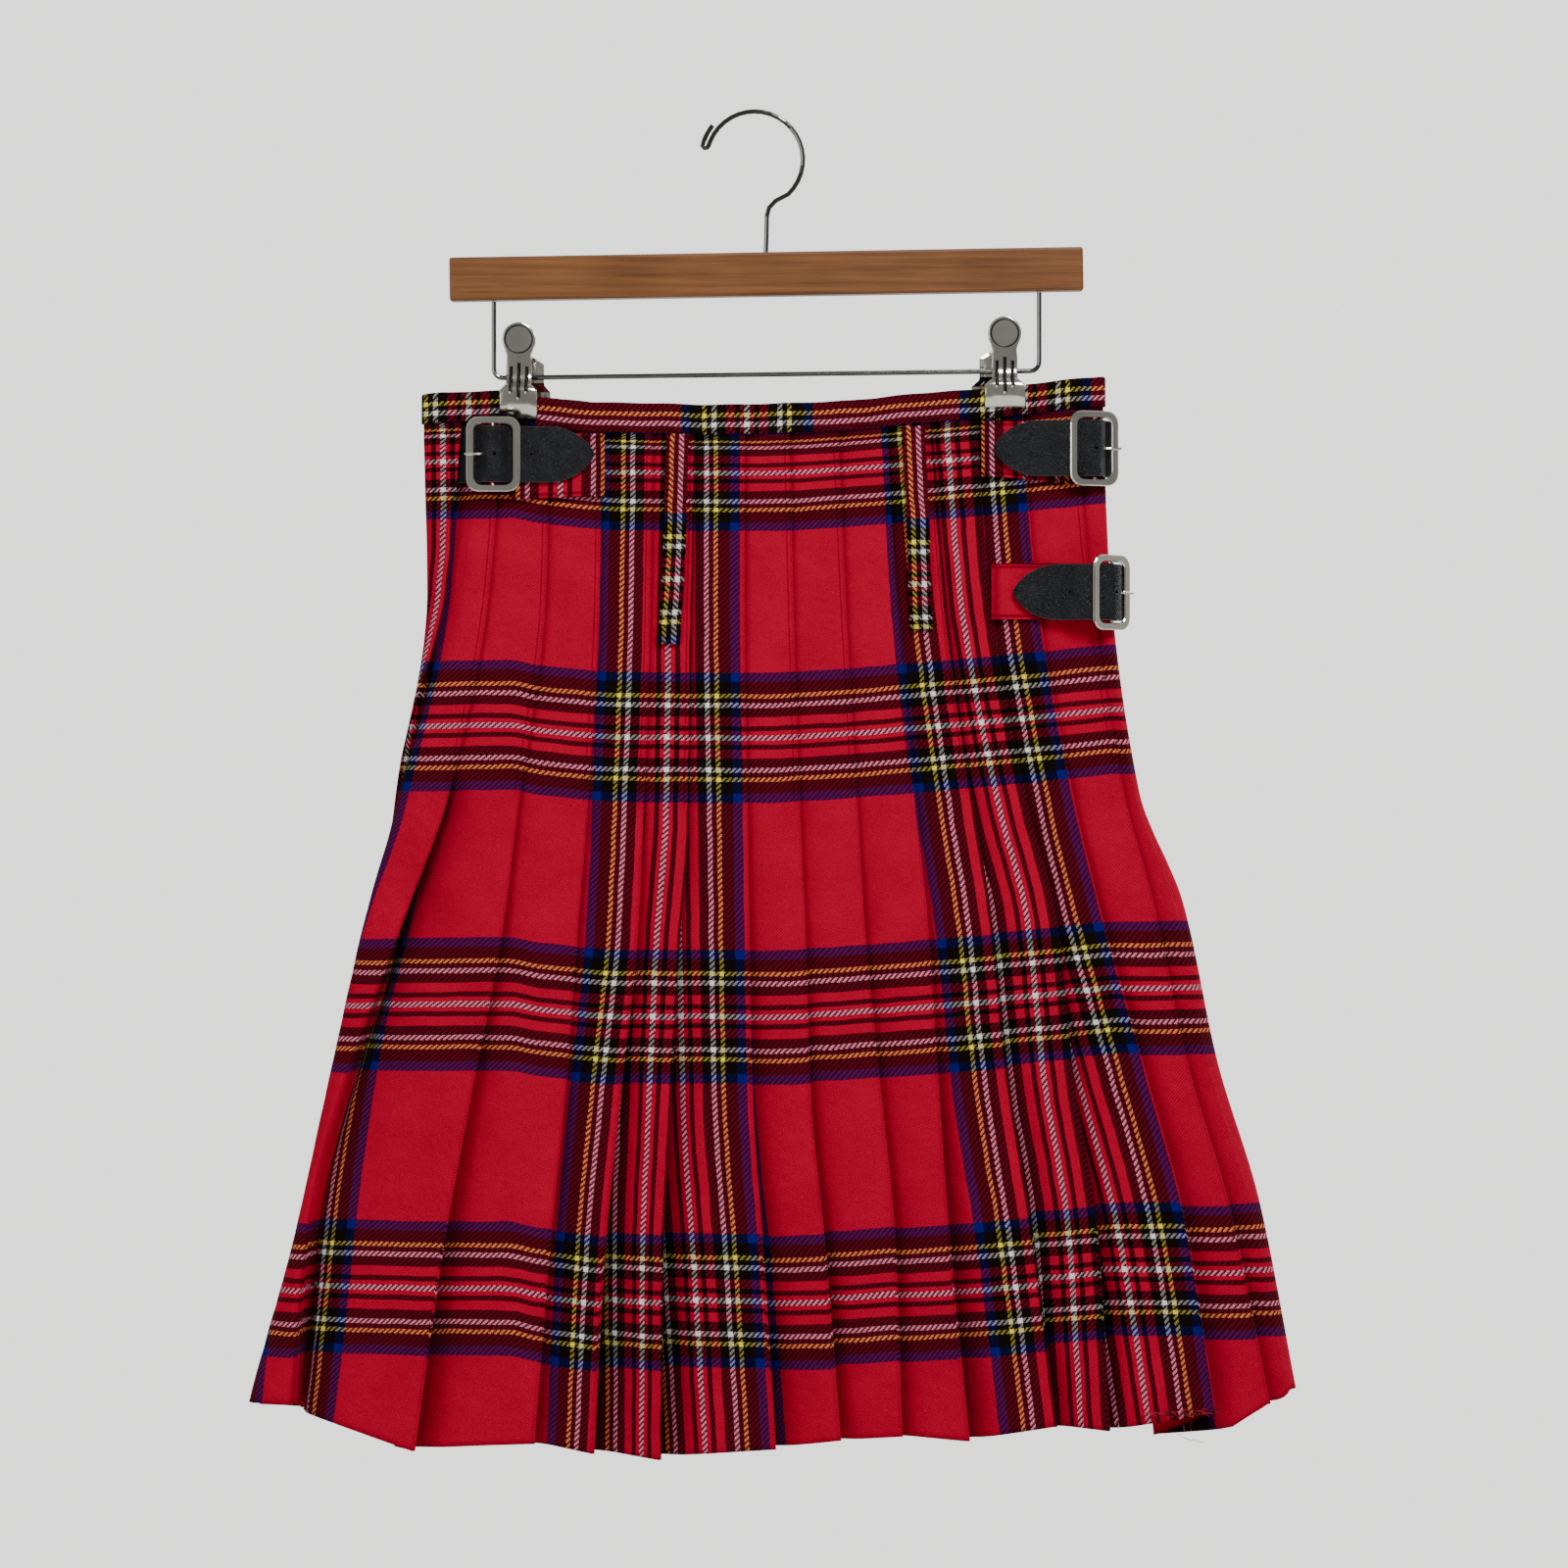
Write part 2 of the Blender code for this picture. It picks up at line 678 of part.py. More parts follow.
def strap_path(name, share):
    """Strap's centre line: from where it is sewn, through the buckle, to its tip."""
    centre, across, outward = buckle_place(name)
    line = outer_line(share)
    if name == "left":
        inner = offset(line, CLOTH / 2 + GAP + LEATHER / 2 + 0.35)
        path = [Vector(p) for p in inner[19:-1]]
        edge = Vector(line[-1])
        path += [edge + Vector((-0.6, 2.7)), edge + Vector((2.2, 1.3))]
        path.append(centre - across * 12.4 - outward * 3.4)
    else:
        lift = CLOTH / 2 + GAP + LEATHER / 2 + 0.15
        t = 15 / math.dist(line[3], line[4])
        sewn = (line[3][0] + (line[4][0] - line[3][0]) * t,
                line[3][1] + (line[4][1] - line[3][1]) * t)
        back = offset(line[:4] + [sewn], -lift)
        path = [Vector(p) for p in back[::-1]]
        past = (Vector(line[0]) - Vector(line[1])).normalized()
        path.append(path[-1] + past * 2.4)
        bend = side_curve(share, 1, front_inset=-lift, wall_inset=-lift)
        total = lengths(bend)
        path.append(Vector(along(bend, total, total[90] - 4.5)))
        path.append(centre - across * 15.2 - outward * 2.7)
    rise = ((-10.3, -2.4), (-8.0, -1.3), (-5.2, 1.6), (-2.7, 3.8), (0, 4.2), (2.7, 3.8),
            (5.2, 1.6), (8.0, -1.3), (10.3, -2.4), (15.8, -2.4))
    path += [centre + across * a + outward * h for a, h in rise]
    bar = path[-1]
    tip = BUCKLES[name][7]
    lift = 2 * CLOTH + 3 * GAP + LEATHER / 2 + 0.1
    drop = on_cloth(bar.x, share, lift).y - bar.y
    for f in (0.08, 0.17, 0.27, 0.38, 0.5, 0.65, 0.78, 0.88, 0.95, 1.0):
        x = bar.x + (tip - bar.x) * f
        landed = ease(abs(x - bar.x), 0, 7 + 2.2 * max(drop, 0))
        y = on_cloth(x, share, lift).y
        path.append(Vector((x, bar.y + (y - bar.y) * landed)))
    return path


def rounded_outline(width, height, radius, steps=4):
    """Corner-rounded rectangle as points."""
    points = []
    for cx, cy, start in ((1, 1, 0), (-1, 1, 90), (-1, -1, 180), (1, -1, 270)):
        for i in range(steps + 1):
            angle = math.radians(start + 90 * i / steps)
            points.append((cx * (width / 2 - radius) + radius * math.cos(angle),
                           cy * (height / 2 - radius) + radius * math.sin(angle)))
    return points


def curve_object(name, splines, closed, collection, material, **settings):
    """Curve object of straight-segment splines in millimetres."""
    curve = bpy.data.curves.new(name, "CURVE")
    for key, value in settings.items():
        setattr(curve, key, value)
    for points in splines:
        spline = curve.splines.new("POLY")
        spline.points.add(len(points) - 1)
        for point, co in zip(spline.points, points):
            full = tuple(co) + (0.0,) * (3 - len(co))
            point.co = (*(c * MM for c in full), 1.0)
        spline.use_cyclic_u = closed
    obj = bpy.data.objects.new(name, curve)
    return link(obj, collection, material)


def as_mesh(obj, collection, material):
    """Curve object turned into a welded mesh object of the same name."""
    graph = bpy.context.evaluated_depsgraph_get()
    bpy.context.view_layer.update()
    mesh = bpy.data.meshes.new_from_object(obj.evaluated_get(graph))
    shell = bmesh.new()
    shell.from_mesh(mesh)
    bmesh.ops.remove_doubles(shell, verts=shell.verts, dist=0.00001)
    shell.to_mesh(mesh)
    shell.free()
    name = obj.name
    matrix = obj.matrix_world.copy()
    bpy.data.objects.remove(obj)
    made = bpy.data.objects.new(name, mesh)
    made.matrix_world = matrix
    return link(made, collection, material)


def wire(name, points, diameter, collection, material):
    """Round wire along points."""
    obj = curve_object(name, [points], False, collection, material, dimensions="3D",
                       bevel_depth=diameter / 2 * MM, bevel_resolution=2,
                       use_fill_caps=True)
    return as_mesh(obj, collection, material)


def boolean(obj, other, operation):
    """Exact Boolean between two objects, kept as a modifier."""
    change = obj.modifiers.new(operation.lower(), "BOOLEAN")
    change.operation = operation
    change.object = other
    change.solver = "EXACT"
    other.hide_render = True
    other.display_type = "WIRE"


def box(name, size, centre, collection, material, rotation=None):
    """Rectangular block in millimetres, its size applied."""
    bpy.ops.mesh.primitive_cube_add(size=1)
    obj = bpy.context.active_object
    obj.name = name
    obj.data.transform(Matrix.Diagonal((*(s * MM for s in size), 1)))
    obj.location = tuple(c * MM for c in centre)
    if rotation is not None:
        obj.rotation_euler = rotation
    return link(obj, collection, material)


def buckle_frame(name, collection, cutters, material):
    """Frame of a buckle with its centre bar joined in."""
    centre = buckle_place(name)[0]
    z = BUCKLES[name][1]
    turn = math.radians(BUCKLES[name][2])
    outline = rounded_outline(*FRAME_SIZE, 7)
    opening = rounded_outline(FRAME_SIZE[0] - 2 * FRAME_BAR, OPENING_HEIGHT, 4)
    bevel = 0.6
    frame = curve_object(f"buckle_{name}", [outline, opening], True, collection, material,
                         dimensions="2D", fill_mode="BOTH",
                         extrude=(FRAME_THICK / 2 - bevel) * MM, bevel_depth=bevel * MM,
                         bevel_resolution=0, offset=-bevel * MM)
    frame = as_mesh(frame, collection, material)
    frame.data.transform(Matrix.Rotation(math.pi / 2, 4, "X"))
    frame.rotation_euler = (0, 0, turn)
    frame.location = (centre.x * MM, centre.y * MM, z * MM)
    bpy.ops.mesh.primitive_cylinder_add(vertices=10, radius=BAR_RADIUS * MM,
                                        depth=(FRAME_SIZE[1] - 5) * MM)
    bar = bpy.context.active_object
    bar.name = f"bar_{name}"
    bar.location = frame.location
    link(bar, cutters, material)
    boolean(frame, bar, "UNION")
    return frame


def buckle_tab(name, collection, cutters, material):
    """Cloth tab doubled round a buckle's centre bar, notched for the prong."""
    centre, across, outward = buckle_place(name)
    z = BUCKLES[name][1]
    high, deep = BUCKLES[name][5:7]
    top = tab_path(name, share_at(high))
    low = tab_path(name, share_at(deep))
    half = OPENING_HEIGHT / 2 - 0.6
    count = len(top)
    tops = []
    lows = []
    for i in range(count):
        part = ease(min(i, count - 1 - i), 6.5, 9.5)
        tops.append(high + (min(z + half, high + 3) - high) * part)
        lows.append(deep + (max(z - half, deep) - deep) * part)
    if name == "left":
        top, low, tops, lows = top[::-1], low[::-1], tops[::-1], lows[::-1]
    tab = ribbon(f"tab_{name}", top, low, tops, lows, CLOTH, collection, material)
    notch = box(f"notch_{name}", (9.4, 8, 3.6), (0, 0, z), cutters, material)
    spot = centre - across * 0.9 + outward * 0.2
    notch.location = (spot.x * MM, spot.y * MM, z * MM)
    notch.rotation_euler = (0, 0, math.radians(BUCKLES[name][2]))
    boolean(tab, notch, "DIFFERENCE")
    return tab


def buckle_strap(name, collection, cutters, material):
    """Leather strap through a buckle, with punched holes and a pointed tip."""
    centre, across, outward = buckle_place(name)
    z = BUCKLES[name][1]
    top = strap_path(name, share_at(z + STRAP_WIDTH / 2))
    low = strap_path(name, share_at(z - STRAP_WIDTH / 2))
    halves = [STRAP_WIDTH / 2] * (len(top) - len(TIP_SHAPE))
    halves += [STRAP_WIDTH / 2 * share for share in TIP_SHAPE]
    tops = [z + half for half in halves]
    lows = [z - half for half in halves]
    strap = ribbon(f"strap_{name}", top, low, tops, lows, LEATHER, collection, material)
    turn = math.radians(BUCKLES[name][2])
    for i, (place, long) in enumerate(STRAP_HOLES):
        bpy.ops.mesh.primitive_cylinder_add(vertices=10, radius=1.35 * MM, depth=16 * MM)
        hole = bpy.context.active_object
        hole.name = f"hole_{name}_{i}"
        hole.data.transform(Matrix.Diagonal((long, 1, 1, 1)))
        spot = centre + across * place
        if place > 10:
            spot += outward * (cloth_height(name, share_at(z), place) + 5)
        hole.rotation_euler = (math.pi / 2, 0, turn)
        hole.location = (spot.x * MM, spot.y * MM, z * MM)
        link(hole, cutters, material)
        boolean(strap, hole, "DIFFERENCE")
    return strap


def buckle_prong(name, collection, material):
    """Prong looped round the centre bar, out through the strap, onto the outer bar."""
    centre, across, outward = buckle_place(name)
    z = BUCKLES[name][1]
    radius = BAR_RADIUS + GAP + PRONG_WIRE / 2
    rest = FRAME_THICK / 2 + GAP + PRONG_WIRE / 2
    points = []
    for i in range(9):
        angle = math.radians(75 - 225 * i / 8)
        points.append((radius * math.cos(angle), radius * math.sin(angle)))
    points += [(-3.2, -0.9), (-4.6, -0.2), (-7.4, 1.4), (-9.6, rest + 0.1),
               (-FRAME_SIZE[0] / 2 - 0.8, rest)]
    line = []
    for a, h in points:
        spot = centre + across * a + outward * h
        line.append((spot.x, spot.y, z))
    return wire(f"prong_{name}", line, PRONG_WIRE, collection, material)


def hanger_bar(collection, material):
    """Wooden bar, its edges rounded."""
    bar = box("hanger_bar", BAR_SIZE, BAR_CENTRE, collection, material,
              rotation=(0, -HANGER_TILT, 0))
    rounding = bar.modifiers.new("rounding", "BEVEL")
    rounding.width = 1.5 * MM
    rounding.segments = 2
    return bar


def arc(centre, radius, start, end, count):
    """Points on an arc in the XZ plane, angles in degrees from +X."""
    points = []
    for i in range(count):
        angle = math.radians(start + (end - start) * i / (count - 1))
        points.append((centre[0] + radius * math.cos(angle), 0.0,
                       centre[1] + radius * math.sin(angle)))
    return points


def hook(collection, material):
    """Chrome hook, its free end folded back on itself."""
    radius = 27.7
    centre = (0.0, HOOK_WIRE / 2 - radius)
    foot = BAR_CENTRE[2] + BAR_SIZE[2] / 2 + GAP + 0.2
    points = [(6.4, 0, foot), (6.7, 0, -70), (6.9, 0, -59), (8.2, 0, -54), (12.0, 0, -50)]
    points += arc(centre, radius, -46, 158, 22)
    tip = arc(centre, radius, 158, 163, 2)[1]
    points.append(tip)
    points += [(tip[0] - 0.9, 0, tip[2] - 1.3), (tip[0] - 2.4, 0, tip[2] - 1.6),
               (tip[0] - 3.6, 0, tip[2] - 0.2)]
    points += arc(centre, radius + 3.5, 160, 141, 4)
    return wire("hook", points, HOOK_WIRE, collection, material)


def bar_underside(x):
    """Height of the bar's underside at a place along it."""
    return BAR_CENTRE[2] - BAR_SIZE[2] / 2 + math.tan(HANGER_TILT) * (x - BAR_CENTRE[0])


def rail_height(x):
    """Height of the clip rail at a place along it."""
    low, high = CLIPS["left"], CLIPS["right"]
    share = (x - low[0]) / (high[0] - low[0])
    return low[1] + (high[1] - low[1]) * share - CLIP_RAIL_DROP


def rail(collection, material):
    """Bent wire under the bar that carries the clips."""
    left, right, bend = -150.0, 163.5, 5.0
    points = [(left, 0, bar_underside(left) - GAP - 0.2)]
    points += arc((left + bend, rail_height(left) + bend), bend, 180, 270, 5)
    points += [(0, 0, rail_height(0))]
    points += arc((right - bend, rail_height(right) + bend), bend, 270, 360, 5)
    points.append((right, 0, bar_underside(right) - GAP - 0.2))
    return wire("clip_rail", points, RAIL_WIRE, collection, material)


def clip_plate(name, side, collection, material):
    """Stamped lever of a clip: round head, ribbed neck, flared jaw."""
    x, z, jaw, jaw_height = CLIPS[name]
    head = 9.5
    neck = 7.3
    face = -1 if side == "front" else 1
    shift = 0.0 if side == "front" else (7.0 if name == "left" else -7.0)
    jaw_top = smooth(WAIST_EDGE, x) - 0.5
    jaw_low = jaw_top - jaw_height
    band = (FRONT_DEPTH[0] + CLOTH + GAP + CLOTH / 2)
    outer = band + GAP + CLIP_PLATE / 2 + (0.1 if side == "front" else 0.9)
    rows = []
    for degrees in (90, 62, 38, 14, -12, -34):
        a = math.radians(degrees)
        half = max(head * math.cos(a), 1.6)
        rows.append((z + head * math.sin(a), half, 5.4 - 0.5 * (1 - math.sin(a))))
    rows += [(z - 9, neck * 0.93, 4.2), (z - 14, neck, 2.8),
             (z - CLIP_RAIL_DROP + 3, neck, RAIL_WIRE / 2 + GAP + CLIP_PLATE / 2 + 0.1),
             (z - CLIP_RAIL_DROP - 3, neck, RAIL_WIRE / 2 + GAP + CLIP_PLATE / 2 + 0.3),
             (jaw_top + 5, neck * 1.02, outer - 3.0), (jaw_top + 1.6, jaw * 0.96, outer),
             (jaw_low, jaw, outer)]
    across = (-1, -0.62, -0.5, -0.06, 0.06, 0.5, 0.62, 1)
    sections = []
    for height, half, out in rows:
        line = []
        for i, f in enumerate(across):
            lift = 0.35 if -0.8 < f < 0.8 and i % 2 == 0 else 0.0
            line.append((x + shift * (height < z - 9) + f * half, face * (out + lift)))
        rail_side = offset(line, CLIP_PLATE / 2)
        far_side = offset(line, -CLIP_PLATE / 2)
        section = [(*p, height) for p in far_side]
        section += [(*p, height) for p in rail_side[::-1]]
        sections.append(section)
    return loft(f"clip_{name}_{side}", sections, collection, material)


def clip_pin(name, collection, material):
    """Rivet between a clip's two heads, which its spring sits on."""
    x, z = CLIPS[name][:2]
    bpy.ops.mesh.primitive_cylinder_add(vertices=16, radius=4.2 * MM, depth=8.0 * MM,
                                        rotation=(math.pi / 2, 0, 0))
    pin = bpy.context.active_object
    pin.name = f"clip_{name}_spring"
    pin.location = (x * MM, 0, (z - 1) * MM)
    link(pin, collection, material)
    pin.data.shade_smooth()
    return pin


def make_material(name, colour, roughness, metallic=0.0):
    """Plain Principled material."""
    material = bpy.data.materials.new(name)
    material.use_nodes = True
    shader = material.node_tree.nodes["Principled BSDF"]
    shader.inputs["Base Color"].default_value = (*colour, 1)
    shader.inputs["Roughness"].default_value = roughness
    shader.inputs["Metallic"].default_value = metallic
    return material


def make_materials():
    """The kilt's and the hanger's materials."""
    return {
        "tartan": make_material("tartan_wool", (0.50, 0.006, 0.018), 0.85),
        "band": make_material("tartan_binding", (0.16, 0.012, 0.02), 0.85),
        "leather": make_material("black_leather", (0.012, 0.013, 0.016), 0.5),
        "chrome": make_material("chrome", (0.62, 0.61, 0.58), 0.12, 1.0),
        "steel": make_material("bright_steel", (0.5, 0.5, 0.48), 0.25, 1.0),
        "wood": make_material("honey_wood", (0.35, 0.14, 0.045), 0.42),
    }


def main():
    """Build the kilt and its hanger."""
    for obj in list(bpy.data.objects):
        bpy.data.objects.remove(obj)
    scene = bpy.context.scene.collection
    kilt = bpy.data.collections.new("kilt_on_hanger")
    cutters = bpy.data.collections.new("cutters")
    scene.children.link(kilt)
    scene.children.link(cutters)
    materials = make_materials()
    pleated_back(kilt, materials["tartan"])
    over_apron(kilt, materials["tartan"])
    under_apron(kilt, materials["tartan"])
    waistband(kilt, materials["band"])
    belt_loop("belt_loop_left", (-44, -184.5), (-48.5, -305), kilt, materials["band"])
    belt_loop("belt_loop_right", (91, -180), (96, -297), kilt, materials["band"])
    for name in BUCKLES:
        buckle_frame(name, kilt, cutters, materials["chrome"])
        buckle_tab(name, kilt, cutters, materials["tartan"])
        buckle_strap(name, kilt, cutters, materials["leather"])
        buckle_prong(name, kilt, materials["chrome"])
    hanger_bar(kilt, materials["wood"])
    hook(kilt, materials["steel"])
    rail(kilt, materials["steel"])
    for name in CLIPS:
        clip_plate(name, "front", kilt, materials["chrome"])
        clip_plate(name, "back", kilt, materials["chrome"])
        clip_pin(name, kilt, materials["steel"])


main()
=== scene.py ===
"""The tartan kilt on its clip hanger, as cloth, leather, metal and wood."""

import random
from math import cos, dist, exp, hypot, pi, radians, sin, sqrt, tau

import bmesh
import bpy
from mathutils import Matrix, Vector


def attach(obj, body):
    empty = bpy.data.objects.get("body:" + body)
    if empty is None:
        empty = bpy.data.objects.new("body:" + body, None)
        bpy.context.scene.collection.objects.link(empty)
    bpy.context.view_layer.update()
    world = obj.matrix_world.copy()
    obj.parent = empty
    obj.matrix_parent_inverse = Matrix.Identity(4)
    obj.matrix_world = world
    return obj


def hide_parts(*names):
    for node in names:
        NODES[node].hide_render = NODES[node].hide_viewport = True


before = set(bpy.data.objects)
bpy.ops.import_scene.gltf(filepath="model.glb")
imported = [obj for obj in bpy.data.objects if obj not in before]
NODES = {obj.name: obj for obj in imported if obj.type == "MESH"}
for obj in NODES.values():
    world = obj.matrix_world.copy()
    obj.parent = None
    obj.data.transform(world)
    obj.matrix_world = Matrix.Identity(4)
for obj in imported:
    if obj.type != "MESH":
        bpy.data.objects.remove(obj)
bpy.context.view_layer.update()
chance = random.Random(7)

MM = 0.001
GAP = 0.3             # between pieces that touch
CLOTH = 1.0           # wall of the worsted cloth
LEATHER = 2.0         # wall of the straps

# Shares of the way from the waist edge to the hem at which the tables below are given
LEVELS = (0.04, 0.19, 0.40, 0.51, 0.67, 0.81, 1.00)

# Edges across, depths to the front and to the wall, and squareness of the outline there
LEFT_EDGE = (-190, -188, -209, -225, -245, -262, -292)
RIGHT_EDGE = (202, 206, 223, 248, 268, 292, 313)
FRONT_DEPTH = (6.6, 9, 14, 20, 27, 32, 36)
WALL_DEPTH = (6.6, 11, 14, 16, 19, 22, 25)
SQUARENESS = (30, 16, 8, 5.5, 4, 3.5, 3.2)

# Each sewn pleat's fold edge, left to right: its place across the kilt at each level,
# then at the hem the height of its corner, how far the next face starts behind it, how
# far that face is tucked under it (negative where the pleat gapes), how far the edge
# stands forward, the width over which the next face rises, and how much lower the
# tucked layer hangs
PLEATS = (
    (-146, -152, -176, -199, -232, -253, -263, -740, 26, -3, -7, 5, -3),
    (-118, -120, -136, -144, -162, -177, -193, -764, 13, 12, 8, 8, 0),
    (-88, -89, -96, -101, -108, -116, -125, -760, 10, 12, 3, 6, 0),
    (-59, -60, -64, -67, -77, -85, -91, -765, 19, 10, 6, 9, 0),
    (-34, -36, -38, -43, -48, -52, -53, -768, 20, 9, 10, 8, 0),
    (-6, -6, -4, -3, -1, 5, 12, -763, 13, 12, 6, 7, 0),
    (20, 22, 26, 29, 32, 40, 49, -758, 10, 11, 3, 5, 0),
    (48, 52, 59, 63, 72, 80, 84, -756, 10, 11, 1, 5, 0),
    (76, 81, 93, 99, 105, 111, 122, -758, 14, 12, 6, 6, 0),
    (102, 109, 125, 135, 145, 158, 172, -751, 11, 13, 1, 6, 0),
    (127, 134, 156, 172, 182, 195, 202, -753, 12, 10, 4, 5, 0),
    (154, 161, 182, 197, 223, 245, 263, -744, 13, 34, 2, 6, -13),
    (184, 192, 211, 228, 248, 272, 295, -740, 8, 10, 0, 4, 0),
)
SEWN_DEPTH = 4.0      # from a sewn fold edge back to where the next face starts
SEWN_TUCK = 12        # how far that face goes under the edge
SEWN_RISE = 3.6       # width over which that face rises
SEWN_FOLD = 1.3       # between the two layers at a sewn fold
FREE_FOLD = 2.8       # the same at the hem
FELL = 0.385          # share down the cloth at which the stitching ends

# The waist edge, sagging between the two clips: across, height
WAIST_EDGE = ((-192, -161), (-140, -160), (-124, -163), (-73, -167), (6, -167.5),
              (39, -166), (101, -161), (157, -156), (204, -151))
# The aprons' hem behind: across, height
APRON_HEM = ((-292, -742), (-150, -752), (0, -754), (160, -750), (313, -732))

# Over apron: edge that laps the first pleat, counted along the cloth from the left side
# (positive on the pleated side, negative on the wall side), and its free edge
LAP_EDGE = (24, 14, -4, -9, -10, -10, -10)
# Where the pleated cloth starts under it, counted the same way, and how deep it lies
PLEATS_START = (18, 8, -22, -22, -22, -22, -22)
START_INSET = (5.8, 5.8, 4.2, 4.2, 4.2, 4.2, 4.2)
FREE_EDGE_IN = 12
UNDER_INSET = 4.2     # under apron's place inside the over apron
UNDER_END_IN = 30
WRAP_IN = 22          # how far the pleated cloth goes round each side

BAND_SPREAD = 6.0     # from the fold edges to the waistband's inner leg
RAIL_WIRE = 2.8
CLIP_PLATE = 1.0

# Clips: across, height of the head's centre, half width of the jaw, jaw height
CLIPS = {"left": (-135.5, -130, 11, 15), "right": (143.5, -126.5, 12, 11.5)}

# Buckles: centre across, height, turn about Z, bar's clearance from the cloth, tab's
# inner end, top and bottom, and the strap's tip
BUCKLES = {
    "left": (-149.6, -196.5, 0, 6.5, -86, -184.4, -222.5, -92),
    "right_upper": (194.5, -193, 24, 3.1, 130, -177, -213.5, 137),
    "right_lower": (204.4, -275.5, 45, 3.1, 135.5, -259, -291, 148),
}
FRAME_HEIGHT = 43
OPENING_HEIGHT = 34.6
BAR_RADIUS = 1.0
STRAP_WIDTH = 32
STRAP_END = 26        # length of the tapered end
# Holes in a strap, from the buckle's middle towards the tip
STRAP_HOLES = (-6.5, 1.0, 21.5)
HOLE_RADIUS = 0.9
# Rows of points across a strap, as shares of its half width
STRAP_ROWS = (-1, -0.95, -0.8, -0.55, -0.3, -0.0875, 0, 0.0875, 0.3, 0.55, 0.8, 0.95, 1)

BODY_TOP = -160       # where buckles count their share of the way down from
BODY_LENGTH = 595
SIDE = 90             # station of a side curve that lies on the side itself
NEAR_SIDE = 60        # first of those that a buckle can touch
LEFT_TURN = 26        # distances from the sides over which the aprons turn
RIGHT_TURN = 30
UNDER_STATIONS = 15
PLEAT_ROWS = 150      # rings of the pleated cloth, from the waist to the hem
APRON_ROWS = 120
FRAY = (219, 262)     # frayed part of the hem, across
FRAY_THREADS = 46

# Columns beside a fold edge, where its stitching shows
NEAR_EDGE = (0.0, 0.7, 1.4, 1.9, 2.3, 2.7, 3.3, 4.4, 6.2)

# Tartan: each colour's width from one pivot of the sett to the other, in threads
THREAD = 0.67
SETT = (("white", 2), ("red", 4), ("black", 4), ("red", 8), ("black", 8), ("white", 4),
        ("black", 4), ("yellow", 4), ("black", 10), ("blue", 8), ("red", 63))
# Yarns, as cube roots of their colours, so that two of them mix evenly to the eye
YARN = {
    "white": (0.95, 0.943, 0.925),
    "red": (0.756, 0.11, 0.29),
    "black": (0.165, 0.13, 0.12),
    "yellow": (0.965, 0.915, 0.43),
    "blue": (0.13, 0.14, 0.52),
}
WEAVE = 0.8           # width of a float of the twill

# Tartan's place across the kilt at each pleat's fold edge
EDGE_PLACES = (-98, -65, -38, -8, 13, 40.5, 70, 97, 125, 154, 176, 198, 229)
# Pleats at which that place falls back: how far, and between which shares down
EDGE_DRIFTS = {1: (7.0, 0.62, 1.0), 8: (4.0, 0.2, 0.55)}
# How far the tartan slips down at each pleat's fold edge, at the hem
SLIPS = (-1.5, 1.8, 0.6, -1.6, 0.4, 1.5, -0.9, 0.8, -1.2, -2.2, 1.4, 2.4, -1.0)
# Distance down from the waist edge on the body, and the tartan's place there
DOWN_PLACES = ((0, -8), (17, 4), (21, 13), (39.5, 38), (192, 198), (352, 358),
               (514.6, 518), (600, 603))
FIRST_GROUP = 38      # the first pivot's place down

# Creases in the cloth: from x, z to x, z, half width, depth to the front
PLEAT_CREASES = (
    (-168, -232, -60, -262, 9, -1.0), (-120, -226, -182, -300, 12, 0.9),
    (150, -220, 60, -246, 10, -0.8), (196, -300, 120, -352, 12, -0.9),
    (-205, -420, -150, -560, 13, -1.4), (-170, -430, -120, -640, 14, 1.3),
    (-110, -452, -104, -690, 15, -1.1), (98, -430, 118, -640, 12, 1.1),
    (64, -470, 76, -700, 11, -1.0), (-30, -440, -22, -600, 9, -1.0),
    (20, -500, 34, -720, 9, 1.0), (215, -452, 262, -600, 14, 1.2),
    (196, -520, 236, -700, 12, -1.3), (-240, -560, -262, -700, 13, 1.2),
    (150, -560, 168, -700, 10, -1.0), (-60, -560, -66, -720, 10, 1.0),
)
APRON_CREASES = (
    (-150, -196, -60, -236, 12, 1.1), (150, -190, 70, -232, 12, -1.1),
    (-90, -260, -120, -470, 15, -1.4), (-30, -240, -42, -520, 17, 1.5),
    (40, -230, 56, -480, 16, -1.3), (112, -262, 150, -520, 17, 1.4),
    (-180, -380, -222, -640, 18, 1.5), (180, -400, 232, -650, 18, -1.5),
    (-110, -540, -124, -752, 17, 1.6), (-46, -560, -50, -754, 14, -1.4),
    (22, -540, 18, -754, 16, 1.5), (96, -560, 112, -750, 15, -1.5),
    (-200, -300, 140, -318, 14, 0.7), (-160, -505, 180, -486, 16, -0.7),
)

BAND_PIVOT = -4.5     # place across at which the waistband's tartan has its pivot
# Belt loops: x and z of the top, of the bottom, and the cross stripes' pivot height
LOOPS = {
    "left": ((-44, -184.5), (-48.5, -305), -268),
    "right": ((91, -180), (96, -297), -271),
}
# Tabs: which way and from where the tartan runs across, where it starts above them,
# and how far their lower corner is lifted
TAB_PLACES = {
    "left": (1, 111.4, -130, 2.0),
    "right_upper": (-1, 154.8, -120, 4.5),
    "right_lower": (1, -90, -200, 0.0),
}

# Clips: the rail's depth below the head's centre, radius of the head and its rim, half
# width of the neck, and each pressed rib's place across, top and bottom
CLIP_RAIL_DROP = 21.6
CLIP_HEAD = 9.5
CLIP_RIM = 7.9
CLIP_NECK = 7.3
CLIP_RIBS = ((-4.5, -15.5, -31), (0.0, -13.5, -34.5), (4.5, -15.5, -31))

